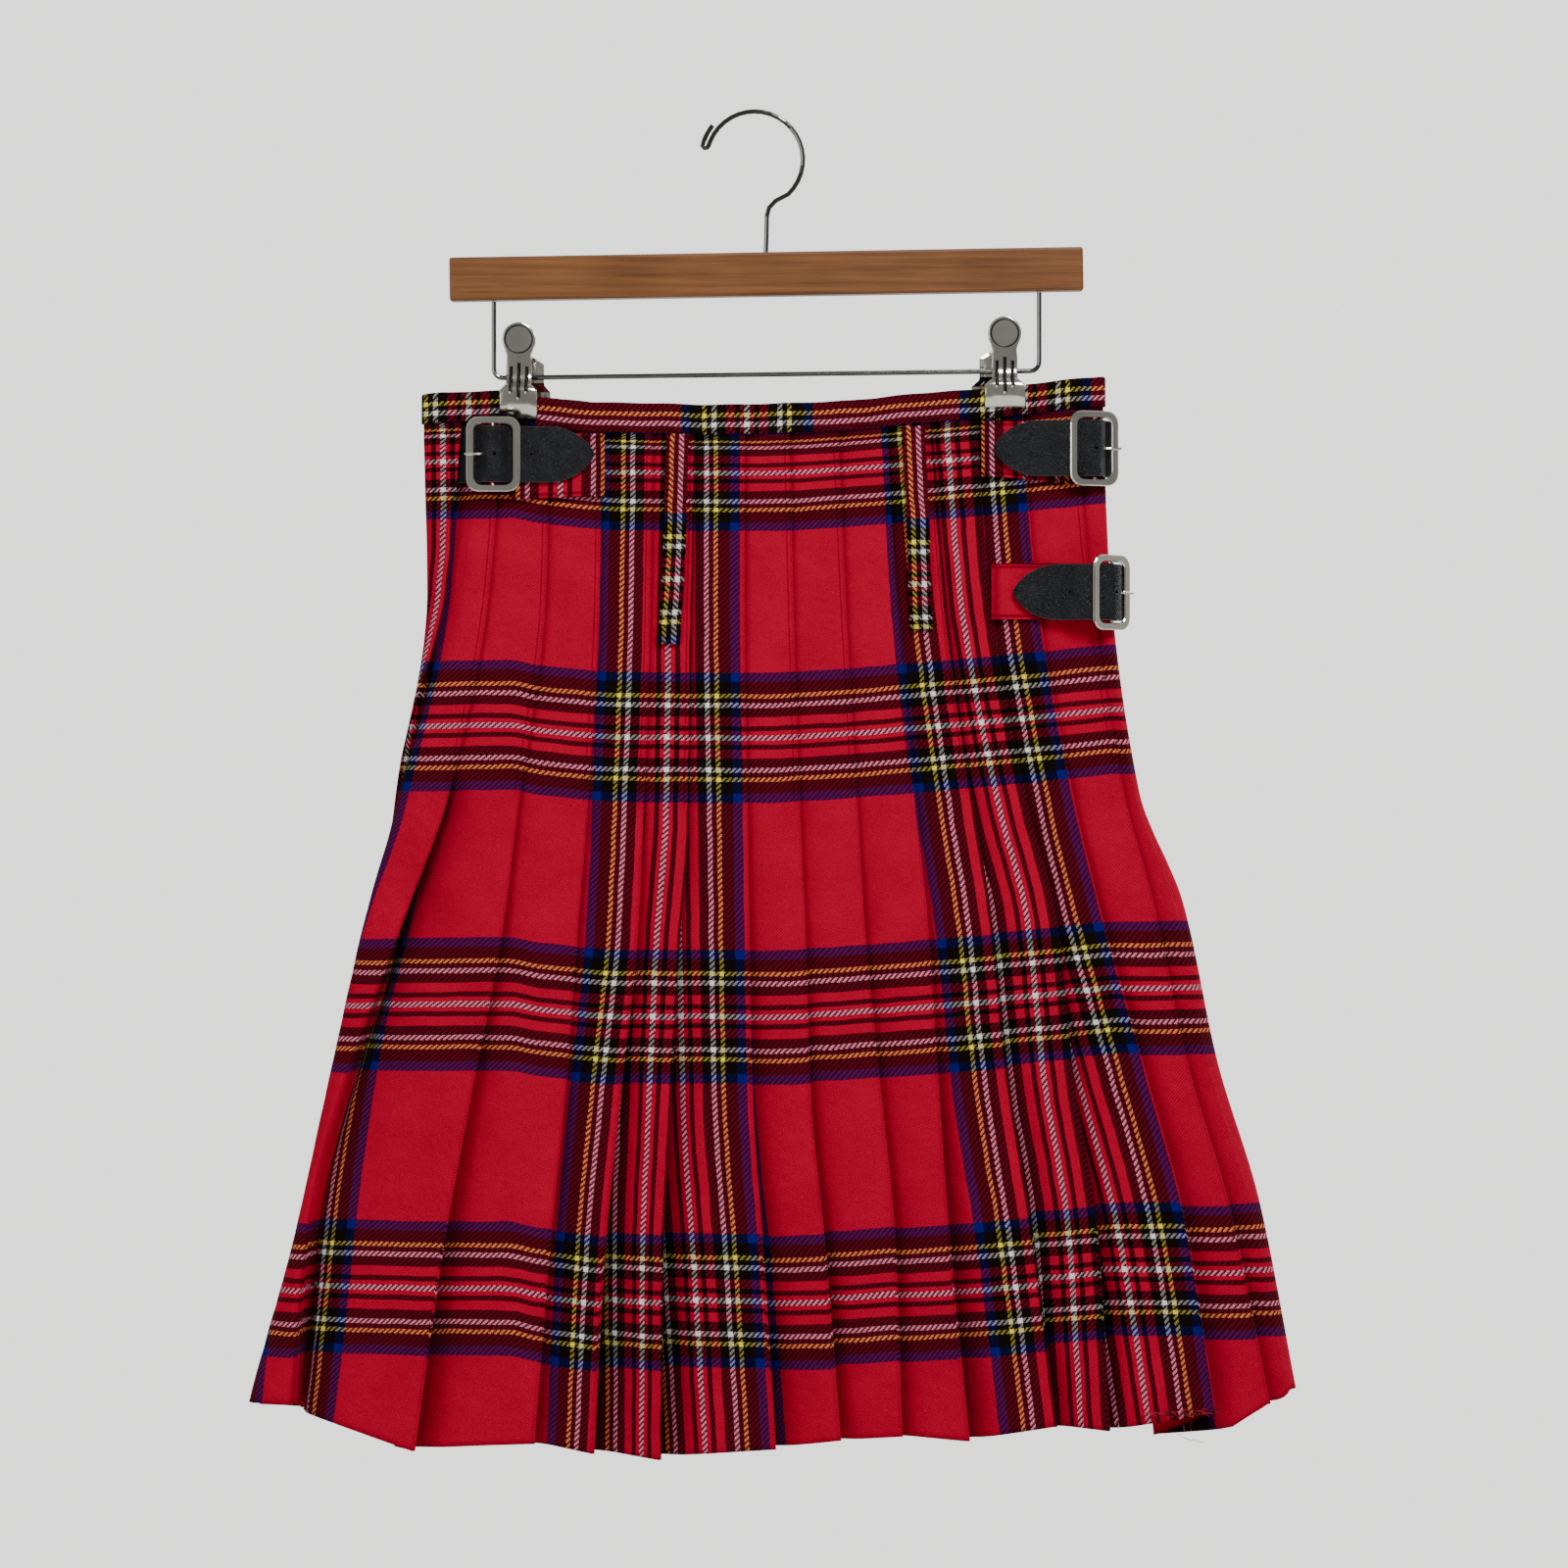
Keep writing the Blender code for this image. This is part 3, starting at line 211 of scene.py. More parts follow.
# Studio: each lamp's name, place, size and power, and the sky's tone from the camera's
# side (0) to the far side (1)
LAMPS = (("key", (0.6, -1.7, 1.2), 0.8, 52.0), ("fill", (-1.8, -1.5, -0.2), 1.4, 15.0),
         ("back", (2.0, 1.1, 0.7), 0.7, 30.0))
LAMPS_AIM = Vector((0.0, 0.0, -0.42))
SKY = ((0.42, 0.12), (0.80, 0.42), (0.93, 0.62), (0.985, 1.0))
SKY_STRENGTH = 1.8
FLOOR_SIZE = 3.6
FLOOR_PLACE = (0, 0.2, -1.45)
CAMERA_PLACE = (0.0168, -3.0, -0.3853)
CAMERA_LENS = 119.8


def at_level(row, share):
    """Value of a table row at a share of the way down the cloth."""
    return smooth(list(zip(LEVELS, row)), share)


def smooth(pairs, x):
    """Cubic through (x, y) pairs, level beyond the ends, with no overshoot."""
    if x <= pairs[0][0]:
        return pairs[0][1]
    if x >= pairs[-1][0]:
        return pairs[-1][1]
    steps = [(b[1] - a[1]) / (b[0] - a[0]) for a, b in zip(pairs, pairs[1:])]
    slopes = [steps[0]] + [
        0.0 if a * b <= 0 else 2 * a * b / (a + b) for a, b in zip(steps, steps[1:])
    ] + [steps[-1]]
    i = next(i for i in range(len(steps)) if x <= pairs[i + 1][0])
    width = pairs[i + 1][0] - pairs[i][0]
    t = (x - pairs[i][0]) / width
    return (
        pairs[i][1] * (1 + 2 * t) * (1 - t) ** 2
        + pairs[i + 1][1] * t * t * (3 - 2 * t)
        + width * t * (1 - t) * (slopes[i] * (1 - t) - slopes[i + 1] * t)
    )


def ease(x, low, high):
    """Rise from 0 at low to 1 at high."""
    t = min(max((x - low) / (high - low), 0), 1)
    return t * t * (3 - 2 * t)


def waist_bulge(x, share):
    """How far the aprons stand out between the clips, where nothing pinches them."""
    left = CLIPS["left"][0] + 14
    right = CLIPS["right"][0] - 16
    across = (x - left) / (right - left)
    if not 0 < across < 1:
        return 0.0
    return 8 * sin(pi * across) ** 2 * (1 - ease(share, 0.0, 0.3))


def apron_ripple(x, share):
    """Soft vertical folds in the hanging aprons."""
    return 3.2 * share * share * sin(x / 31 + 0.6) * (1 - (x / 330) ** 2)


def fullness(x, share):
    """Share of the full depth that the hanging kilt has at a place across it."""
    left = at_level(LEFT_EDGE, share)
    right = at_level(RIGHT_EDGE, share)
    across = min(abs(2 * x - left - right) / (right - left), 1)
    return sqrt(1 - across ** at_level(SQUARENESS, share))


def front_y(x, share):
    """Y of the fold edges' envelope on the pleated side."""
    return -at_level(FRONT_DEPTH, share) * fullness(x, share)


def wall_y(x, share):
    """Y of the outer apron on the wall side."""
    depth = at_level(WALL_DEPTH, share) + waist_bulge(x, share) + apron_ripple(x, share)
    return depth * fullness(x, share)


def half_turn(power):
    """Stations from the middle of one face to the side, as (degrees, share of the half
    width, share of the depth)."""
    turn, flat = 80, 50   # degrees at which the side starts to turn, stations before it
    edge = cos(radians(turn)) ** (2 / power)
    stations = []
    for i in range(flat):
        across = edge * i / flat
        stations.append((90 - i / 5, across, sqrt(1 - across ** power)))
    for degrees in range(turn, -1, -2):
        angle = radians(degrees)
        stations.append((degrees, cos(angle) ** (2 / power), sin(angle)))
    return stations


def side_curve(share, side, front_inset=0.0, wall_inset=0.0):
    """Points round one side, from the middle of the wall side to that of the pleats."""
    left = at_level(LEFT_EDGE, share)
    right = at_level(RIGHT_EDGE, share)
    middle = (left + right) / 2
    turn = half_turn(at_level(SQUARENESS, share))
    points = []
    for i in range(2 * SIDE + 1):
        at_wall = i < SIDE
        degrees, across, deep = turn[i] if at_wall else turn[2 * SIDE - i]
        blend = ease(degrees, 0, 40)
        inset = wall_inset if at_wall else front_inset
        inset = inset * blend + (wall_inset + front_inset) / 2 * (1 - blend)
        x = middle + side * ((right - left) / 2 - inset) * across
        if at_wall:
            depth = at_level(WALL_DEPTH, share) + waist_bulge(x, share) - inset
            depth += apron_ripple(x, share) * ease(degrees, 0, 60)
        else:
            depth = inset - at_level(FRONT_DEPTH, share)
        points.append((x, depth * deep))
    return points


def between(a, b, t):
    """Point at a share of the way from a to b, of any dimension."""
    return tuple(p + (q - p) * t for p, q in zip(a, b))


def lengths(points):
    """Distance of each point from the first, along the line."""
    total = [0.0]
    for a, b in zip(points, points[1:]):
        total.append(total[-1] + dist(a, b))
    return total


def pick(line, total, places):
    """Points of a line of any dimension at rising distances along it."""
    found = []
    i = 0
    for place in places:
        place = min(max(place, 0.0), total[-1])
        while i < len(total) - 2 and place > total[i + 1]:
            i += 1
        t = (place - total[i]) / ((total[i + 1] - total[i]) or 1.0)
        found.append(between(line[i], line[i + 1], t))
    return found


def distance_at_x(points, x):
    """Distance along a side curve at which its pleated half passes an x."""
    total = lengths(points)
    for i in range(len(points) // 2, len(points) - 1):
        a, b = points[i][0], points[i + 1][0]
        if (a - x) * (b - x) <= 0 and a != b:
            return total[i] + (total[i + 1] - total[i]) * (x - a) / (b - a)
    return total[-1]


def offset(points, distance):
    """Line moved to its left by a distance, or one for each point, mitred."""
    moved = []
    for i, (x, y) in enumerate(points):
        before = points[i - 1] if i else None
        after = points[i + 1] if i + 1 < len(points) else None
        normals = []
        for a, b in ((before, (x, y)), ((x, y), after)):
            if a and b:
                size = dist(a, b) or 1.0
                normals.append(((a[1] - b[1]) / size, (b[0] - a[0]) / size))
        nx = sum(n[0] for n in normals) / len(normals)
        ny = sum(n[1] for n in normals) / len(normals)
        shift = distance[i] if isinstance(distance, list) else distance
        scale = shift / max(nx * nx + ny * ny, 0.35)
        moved.append((x + nx * scale, y + ny * scale))
    return moved


def hem_height(x):
    """Height of the aprons' hem."""
    return smooth(APRON_HEM, x)


def down(x, share, hem):
    """Height at a share of the way from the waist edge to a hem height."""
    top = smooth(WAIST_EDGE, x) - GAP - CLOTH - 0.6
    return top + (hem - top) * share


def pleat_at(pleat, share):
    """Sizes of one pleat at a share of the way down."""
    hem, depth, tuck, forward, rise, drop = pleat[7:]
    opened = ease(share, FELL - 0.05, 1.15) / ease(1.0, FELL - 0.05, 1.15)
    gaping = opened if tuck >= 0 else ease(share, FELL - 0.03, 0.62)
    deeper = opened if tuck >= 0 else gaping ** 0.8
    return {
        "x": at_level(pleat[:7], share),
        "hem": hem,
        "depth": SEWN_DEPTH + (depth - SEWN_DEPTH) * deeper,
        "tuck": SEWN_TUCK + (tuck - SEWN_TUCK) * gaping,
        "forward": forward * opened,
        "rise": SEWN_RISE + (rise - SEWN_RISE) * gaping,
        "fold": SEWN_FOLD + (FREE_FOLD - SEWN_FOLD) * opened,
        "drop": drop * opened,
        "gape": gaping if tuck < 0 else 0.0,
    }


def left_points(share, places):
    """Points on the outer line at rising places counted from the left side, positive on
    the pleated side."""
    line = side_curve(share, -1)
    total = lengths(line)
    return pick(line, total, [total[SIDE] + place for place in places])


def outer_line(share):
    """Over apron's centre line as (x, y) points, from its free edge to its lap."""
    wall = side_curve(share, 1)[SIDE::-1] + side_curve(share, -1)[1:SIDE + 1]
    total = lengths(wall)
    turn = total[-1] - LEFT_TURN
    lap = at_level(LAP_EDGE, share)
    first = [FREE_EDGE_IN, 16, WRAP_IN + GAP, RIGHT_TURN]
    first += [RIGHT_TURN + (turn - RIGHT_TURN) * i / 13 for i in range(1, 14)]
    last = [(lap + LEFT_TURN) * (i / 14) - LEFT_TURN for i in range(1, 15)]
    return pick(wall, total, first) + left_points(share, last)


def left_part(share, first_x):
    """First face, from under the over apron or from round the left side."""
    start = at_level(PLEATS_START, share)
    lap = at_level(LAP_EDGE, share)
    line = side_curve(share, -1)
    end = distance_at_x(line, first_x - 4) - lengths(line)[SIDE]
    places = [start, start + 0.45 * (lap - start), lap + 1]
    places += [lap + 1 + (end - lap - 1) * f for f in (0.18, 0.36, 0.55, 0.77, 1.0)]
    inset = at_level(START_INSET, share)
    rise = min(16.0, 0.7 * (end - lap))
    depths = [inset * (1 - ease(place, lap - 2, lap + rise)) + 0.3 for place in places]
    depths[0] = inset
    return offset(left_points(share, places), depths)


def right_part(share):
    """Cloth after the last pleat, round the right side to the wall side."""
    curve = side_curve(share, 1, front_inset=0.4, wall_inset=UNDER_INSET)
    total = lengths(curve)
    last_x = at_level(PLEATS[-1][:7], share)
    reach = at_level(RIGHT_EDGE, share) - last_x
    start = distance_at_x(curve, last_x + 0.66 * reach) - total[SIDE]
    places = (-8, -4.6, -2.2, 0, 0.2 * start, 0.42 * start, 0.7 * start, start)
    points = pick(curve, total, [total[SIDE] + place for place in places])
    seam = offset(outer_line(share), UNDER_INSET)
    t = 1 - (GAP + 0.05) / dist(seam[1], seam[2])
    return points[::-1] + [seam[1], between(seam[1], seam[2], t)]


def under_line(share):
    """Under apron's centre line, from the right side's seam to its free edge."""
    inner = offset(outer_line(share), UNDER_INSET)
    end_x = at_level(LEFT_EDGE, share) + UNDER_END_IN
    kept = [p for p in inner[2:17] if p[0] > end_x + 3]
    after = [p for p in inner if p[0] <= kept[-1][0] and p[1] > 0]
    path = [kept[-1]]
    for a, b in zip(after, after[1:]):
        if b[0] <= end_x:
            t = (end_x - a[0]) / (b[0] - a[0])
            path.append((end_x, a[1] + (b[1] - a[1]) * t))
            break
        path.append(b)
    total = lengths(path)
    rest = UNDER_STATIONS - len(kept)
    return kept + pick(path, total, [total[-1] * k / rest for k in range(1, rest + 1)])


def band_path():
    """Waistband's path and its inner leg's distances, over apron to under apron."""
    path = outer_line(0)
    reach = CLOTH + GAP
    spread = [reach] * len(path)
    lap = path[-1][0]
    spread[-3:] = [6.9, 7.6, 7.6]
    for shift, deep in ((3, 7.4), (7, 6.8), (11, BAND_SPREAD + 0.1)):
        path.append((lap + shift, front_y(lap + shift, 0)))
        spread.append(deep)
    start = path[-1][0]
    end = PLEATS[-1][0] + 3.0
    for i in range(1, 25):
        x = start + (end - start) * i / 24
        path.append((x, front_y(x, 0)))
        spread.append(BAND_SPREAD)
    right = right_part(0)
    path += right
    spread += [4.0] + [reach] * (len(right) - 1)
    under = under_line(0)
    path += under[1:]
    spread += [reach] * (len(under) - 1)
    return path, spread


def on_cloth(x, share, lift):
    """Point a lift above the pleated side's outer face."""
    slope = front_y(x + 0.5, share) - front_y(x - 0.5, share)
    return Vector((x, front_y(x, share) - (CLOTH / 2 + lift) * hypot(1, slope)))


def share_at(height):
    """Share of the way down of a height on the pleated side."""
    return (BODY_TOP - height) / BODY_LENGTH


def buckle_place(name):
    """Centre, unit vector towards the strap's tip, outward vector of a buckle."""
    x, z, turn, clear = BUCKLES[name][:4]
    angle = radians(turn)
    toward_tip = 1 if name == "left" else -1
    across = Vector((cos(angle), sin(angle))) * toward_tip
    outward = Vector((sin(angle), -cos(angle)))
    side = -1 if name == "left" else 1
    curve = side_curve(share_at(z - FRAME_HEIGHT / 2), side)
    support = max(p[0] * outward.x + p[1] * outward.y for p in curve[NEAR_SIDE:])
    y = (support + CLOTH / 2 + clear - x * outward.x) / outward.y
    return Vector((x, y)), across, outward


def cloth_height(name, share, a):
    """Height of the cloth's face in a buckle's frame, at a distance towards the tip."""
    centre, across, outward = buckle_place(name)
    half = CLOTH / 2 / outward_cos(name)
    side = -1 if name == "left" else 1
    curve = [Vector(p) - centre for p in side_curve(share, side)[NEAR_SIDE:]]
    local = [(p.dot(across), p.dot(outward)) for p in curve]
    for p, q in zip(local, local[1:]):
        if (p[0] - a) * (q[0] - a) <= 0 and p[0] != q[0]:
            return p[1] + (q[1] - p[1]) * ((a - p[0]) / (q[0] - p[0])) + half
    x = centre.x + across.x * a
    return (Vector((x, front_y(x, share))) - centre).dot(outward) + half


def outward_cos(name):
    """Cosine of a buckle's turn."""
    return cos(radians(BUCKLES[name][2]))


def tab_path(name, share):
    """Tab's centre line: under layer, round the centre bar, upper layer."""
    centre, across, outward = buckle_place(name)
    slant = outward_cos(name)
    radius = BAR_RADIUS + GAP + CLOTH / 2
    under = GAP + CLOTH / 2

    def point(toward, out):
        return centre + across * toward + outward * out

    lower = []
    upper = []
    start = point(13, cloth_height(name, share, 13)).x
    end = BUCKLES[name][4]
    for f in (1, 0.8, 0.6, 0.4, 0.25, 0.1):
        x = start + (end - start) * f
        lower.append(on_cloth(x, share, under))
        upper.append(on_cloth(x, share, under + CLOTH + GAP))
    for a in (13, 10.5, 8.0, 5.5, 3.4):
        rise = 1 - ease(a, 1.5, 10)
        low = cloth_height(name, share, a) + under / slant
        spare = 8 * rise * (1 - rise) * (1 / slant - 1)
        high = low + (CLOTH + GAP) / slant
        lower.append(point(a, low * (1 - rise) - radius * rise))
        upper.append(point(a, high * (1 - rise) + 0.9 * rise + spare))
    for i in range(7):
        angle = radians(-75 - 235 * i / 6)
        lower.append(point(radius * cos(angle), radius * sin(angle)))
    return lower + upper[::-1]


def strap_path(name, share):
    """Strap's centre line: from where it is sewn, through the buckle, to its tip."""
    centre, across, outward = buckle_place(name)
    line = outer_line(share)
    lift = CLOTH / 2 + GAP + LEATHER / 2

    def point(toward, out):
        return centre + across * toward + outward * out

    if name == "left":
        path = [Vector(p) for p in offset(line, lift + 0.35)[19:-1]]
        edge = Vector(line[-1])
        path += [edge + Vector((-0.6, 2.7)), edge + Vector((2.2, 1.3))]
        path.append(point(-12.4, -3.4))
    else:
        lift += 0.15
        sewn = between(line[3], line[4], 15 / dist(line[3], line[4]))
        path = [Vector(p) for p in offset(line[:4] + [sewn], -lift)[::-1]]
        past = (Vector(line[0]) - Vector(line[1])).normalized()
        path.append(path[-1] + past * 2.4)
        bend = side_curve(share, 1, front_inset=-lift, wall_inset=-lift)
        total = lengths(bend)
        path.append(Vector(pick(bend, total, [total[SIDE] - 4.5])[0]))
        path.append(point(-15.2, -2.7))
    rise = ((-10.3, -2.4), (-8.0, -1.3), (-5.2, 1.6), (-2.7, 3.8), (0, 4.2), (2.7, 3.8),
            (5.2, 1.6), (8.0, -1.3), (10.3, -2.4), (15.8, -2.4))
    path += [point(a, h) for a, h in rise]
    bar = path[-1]
    tip = BUCKLES[name][7]
    lift = 2 * CLOTH + 3 * GAP + LEATHER / 2 + 0.1
    drop = on_cloth(bar.x, share, lift).y - bar.y
    for f in (0.08, 0.17, 0.27, 0.38, 0.5, 0.65, 0.78, 0.88, 0.95, 1.0):
        x = bar.x + (tip - bar.x) * f
        landed = ease(abs(x - bar.x), 0, 7 + 2.2 * max(drop, 0))
        y = on_cloth(x, share, lift).y
        path.append(Vector((x, bar.y + (y - bar.y) * landed)))
    return path


def smooth_line(points, parts):
    """Catmull-Rom line through points, each stretch in so many parts."""
    out = []
    last = len(points) - 1
    for i in range(last):
        p0 = points[max(i - 1, 0)]
        p1, p2 = points[i], points[i + 1]
        p3 = points[min(i + 2, last)]
        for k in range(parts):
            t = k / parts
            out.append(tuple(
                0.5 * (2 * b + (c - a) * t + (2 * a - 5 * b + 4 * c - d) * t * t
                       + (3 * b - a - 3 * c + d) * t ** 3)
                for a, b, c, d in zip(p0, p1, p2, p3)))
    out.append(tuple(points[-1]))
    return out


def flat_lengths(line):
    """Distances along a line, measured in the level plane."""
    return lengths([p[:2] for p in line])


def tartan_down(x, z):
    """Tartan's place down the cloth at a point of the body."""
    return smooth(DOWN_PLACES, smooth(WAIST_EDGE, x) - z) - FIRST_GROUP


def crease(table, x, z):
    """Push of the listed creases at a point."""
    push = 0.0
    for ax, az, bx, bz, width, depth in table:
        dx, dz = bx - ax, bz - az
        t = ((x - ax) * dx + (z - az) * dz) / (dx * dx + dz * dz)
        if not -0.25 < t < 1.25:
            continue
        middle = min(max(t, 0), 1)
        away = hypot(x - ax - dx * middle, z - az - dz * middle)
        if away < 2.4 * width:
            push += depth * exp(-(away / width) ** 2)
    return push


def drape(x, z, share):
    """Soft swell of the pleated side, the same for all layers of a pleat."""
    low = max(share - 0.3, 0)
    swell = 1.8 * low * sin(x / 27 + z / 140 + 0.7)
    swell += 1.2 * low * sin(x / 13.5 - z / 66 + 2.1)
    swell += 0.16 * sin(z / 17 + x / 9) * ease(share, 0.1, 0.3)
    return swell - crease(PLEAT_CREASES, x, z) * ease(share, 0.0, 0.12)


def edge_place(i, share):
    """Tartan's place across at a fold edge."""
    drift, start, end = EDGE_DRIFTS.get(i, (0.0, 0.0, 1.0))
    return EDGE_PLACES[i] - drift * ease(share, start, end)


def pleated_row(share):
    """Fine ring of the pleated cloth: x, y, z, tartan across, slip, stitch marks and
    painted shade.
    """
    pleats = [pleat_at(p, share) for p in PLEATS]
    first = pleats[0]
    sewn = 1 - ease(share, FELL - 0.015, FELL + 0.01)
    ring = []

    def shadow(x, over):
        """Painted shadow beside the pleat's fold edge that lies over a face."""
        away = max(x - over["x"], 0)
        deep = 1.5 if over is first else min(over["depth"] / 11, 1.25)
        soft = deep * exp(-away / (8 if over is first else 5.5))
        return ((1 - sewn) * (0.7 * soft + 0.3 * exp(-away / 1.1))
                + 0.35 * sewn * exp(-away / 1.2))

    def face(keys, i, fold, columns):
        """Face through (x, y, hem) keys up to its fold edge."""
        line = smooth_line(keys, 6)
        total = flat_lengths(line)
        reach = total[-1]
        near = [d for d in NEAR_EDGE if d < 0.5 * reach]
        rest = columns - len(near)
        far = [near[-1] + (reach - near[-1]) * (k + 1) / rest for k in range(rest)]
        ends = sorted([reach - d for d in near + far])
        slip = SLIPS[i] * ease(share, FELL, 1.0)
        for place, p in zip(ends, pick(line, total, ends)):
            away = reach - place
            # Darkened along the stitching, and as painted shade in a thin line at the
            # fold edge
            stitch = 0.75 * max(0.0, 1 - abs(away - 2.1) / 0.5) * sewn
            mark = max(stitch, 0.22 * max(0.0, 1 - away / 0.8))
            # The pleat before casts a painted shadow on this face
            if i:
                mark = max(mark, min(shadow(p[0], pleats[i - 1]), 1.15))
            ring.append((p[0], p[1] + 0.3 * stitch, down(p[0], share, p[2]),
                         edge_place(i, share) - fold - away, slip, mark))

    left = at_level(LEFT_EDGE, share)
    hem = hem_height(left) + 2
    keys = []
    for x, y in left_part(share, first["x"]):
        mix = ease(x, left, first["x"])
        keys.append((x, y, hem + (first["hem"] - hem) * mix))
    for i, p in enumerate(pleats):
        c = p["fold"] / 2
        x = p["x"]
        y = front_y(x, share) - p["forward"]
        low = p["hem"] + p["drop"]
        place = edge_place(i, share)
        keys.append((x - c, y, p["hem"]))
        face(keys, i, c, 17 if i else 24)
        # Round the fold; where it is sewn, its inner half is darkened as painted shade
        for k in range(1, 6):
            angle = radians(-90 + 30 * k)
            px = x - c + c * cos(angle)
            ring.append((px, y + c + c * sin(angle), down(px, share, p["hem"]),
                         place - c + 0.5 * k, 0.0, 0.7 * sewn * (k > 3)))
        tip_x = x - p["tuck"]
        behind = wall_y(tip_x, share) - UNDER_INSET - 3.2
        tip_y = min(front_y(tip_x, share) + p["depth"], behind)
        turn = p["gape"] * pi / 2
        dx = c * sin(turn)
        dy = c * cos(turn)
        ends = (x - c, y + 2 * c), (tip_x - dx, tip_y - dy)
        run = dist(*ends)
        # The tucked layer back from the fold, darkened towards the fold as painted
        # shade where it is sewn
        for k in range(7):
            t = k / 6
            px, py = between(*ends, t)
            ring.append((px, py, down(px, share, p["hem"] + (low - p["hem"]) * t),
                         place + run * t, 0.0, 0.8 * sewn * (1 - t)))
        for k in range(1, 4):
            angle = pi * k / 4
            px = tip_x - dx * cos(angle) - dy * sin(angle)
            py = tip_y - dy * cos(angle) + dx * sin(angle)
            ring.append((px, py, down(px, share, low), place + run, 0, 0))
        after = pleats[i + 1] if i + 1 < len(pleats) else None
        next_x = after["x"] if after else at_level(RIGHT_EDGE, share)
        next_hem = after["hem"] if after else hem_height(next_x)
        reach = next_x - x
        keys = [(tip_x + dx, tip_y + dy, low)]
        risen = min(2.8 * p["rise"], 0.5 * reach)
        for step, deep in ((p["rise"], 0.52), (risen, 0.12)):
            face_x = x + step
            keys.append((face_x, front_y(face_x, share) + deep * p["depth"],
                         low + (next_hem - low) * step / reach))
    line = smooth_line(keys + [(a, b, hem_height(a)) for a, b in right_part(share)], 5)
    total = flat_lengths(line)
    places = [total[-1] * k / 43 for k in range(44)]
    # Cloth after the last pleat, with the painted shadow of its fold edge
    for place, p in zip(places, pick(line, total, places)):
        ring.append((p[0], p[1], down(p[0], share, p[2]), EDGE_PLACES[-1] + 12 + place,
                     0.0, shadow(p[0], pleats[-1])))
    return ring


def add_object(name, data):
    """New object in the scene."""
    obj = bpy.data.objects.new(name, data)
    bpy.context.scene.collection.objects.link(obj)
    return obj


def make_grid(name, rows, material, thickness=0.8, rim_only=True):
    """Surface through rows of x, y, z, tartan across, tartan down, stitch marks and
    painted shade.
    """
    count = len(rows[0])
    flat = [p for row in rows for p in row]
    faces = []
    for r in range(len(rows) - 1):
        for i in range(count - 1):
            a = r * count + i
            faces.append((a, a + count, a + count + 1, a + 1))
    mesh = bpy.data.meshes.new(name)
    mesh.from_pydata([(p[0] * MM, p[1] * MM, p[2] * MM) for p in flat], [], faces)
    layer = mesh.uv_layers.new(name="cloth")
    layer.uv.foreach_set("vector", [
        c for loop in mesh.loops for c in flat[loop.vertex_index][3:5]])
    mark = mesh.attributes.new("mark", "FLOAT", "POINT")
    mark.data.foreach_set("value", [p[5] for p in flat])
    mesh.polygons.foreach_set("use_smooth", [True] * len(mesh.polygons))
    mesh.materials.append(material)
    obj = add_object(name, mesh)
    rim = obj.modifiers.new("edge", "SOLIDIFY")
    rim.thickness = thickness * MM
    rim.offset = 0
    rim.use_rim = True
    rim.use_rim_only = rim_only
    return obj


def pleated_cloth(material):
    """The pleats, sewn down to the fell and hanging free below it."""
    rows = []
    for r in range(PLEAT_ROWS):
        share = r / (PLEAT_ROWS - 1)
        rows.append([
            (x, y + drape(x, z, share), z, across, tartan_down(x, z) + slip, mark)
            for x, y, z, across, slip, mark in pleated_row(share)])
    return make_grid("pleated_cloth", rows, material)


def apron_cloth(name, line_at, lap_place, turned, material):
    """An apron, its tartan counted from its left end."""
    rows = []
    for r in range(APRON_ROWS):
        share = r / (APRON_ROWS - 1)
        line = smooth_line([(x, y) for x, y in line_at(share)], 5)
        total = lengths(line)
        row = []
        for (x, y), place in zip(line, total):
            z = down(x, share, hem_height(x))
            push = 1.1 * share * sin(x / 19 + z / 120) * ease(share, 0.15, 0.6)
            fold = crease(APRON_CREASES, x * turned, z) * ease(share, 0.0, 0.12)
            push += fold * (3.0 if turned > 0 and fold > 0 else 1.0)
            edge = min(place, total[-1] - place)
            mark = 0.5 * max(0.0, 1 - abs(edge - 6) / 1.0)
            across = lap_place + 6.5 * (1 - ease(share, 0, 0.16)) - (total[-1] - place)
            y += push * ease(y, -2, 8)
            row.append((x, y, z, across, tartan_down(x, z), mark))
        rows.append(row)
    return make_grid(name, rows, material)


def band_cloth(material):
    """Waistband folded over the waist edge, stitched low on its outer leg."""
    path, spread = band_path()
    line = smooth_line([(x, y, s) for (x, y), s in zip(path, spread)], 5)
    middle = [(p[0], p[1]) for p in line]
    outer = offset(middle, -CLOTH - GAP)
    inner = offset(middle, [p[2] for p in line])
    total = lengths(middle)
    front = [i for i, p in enumerate(middle) if p[1] < -2]
    zero = min(front, key=lambda i: abs(middle[i][0]))
    start = total[zero] - (middle[zero][0] - BAND_PIVOT)
    stitched = -15.4
    falls = (-17.0, -16.2, stitched, -14.6, -12, -9, -6, -3, -1.2)
    profile = [(0, fall) for fall in falls]
    profile += [(0.12, -0.4), (0.5, -0.1), (0.88, -0.4)]
    profile += [(1, fall) for fall in (-1.2, -6, -11, -17)]
    rows = []
    for leg, fall in profile:
        row = []
        for i, place in enumerate(total):
            x, y = between(outer[i], inner[i], leg)
            z = smooth(WAIST_EDGE, outer[i][0]) + fall
            z += 0.35 * sin(place / 13) + 0.2 * sin(place / 5.2)
            puff = 0.35 * sin(place / 9 + fall / 5) * (leg == 0) * (fall < -2)
            mark = 0.8 * (fall == stitched) * (sin(place * 2.4) > -0.2)
            level = 30.5 + fall * (1 - 2 * leg)
            row.append((x, y - puff, z, place - start, level, mark))
        rows.append(row)
    return make_grid("waistband_cloth", rows[::-1], material)


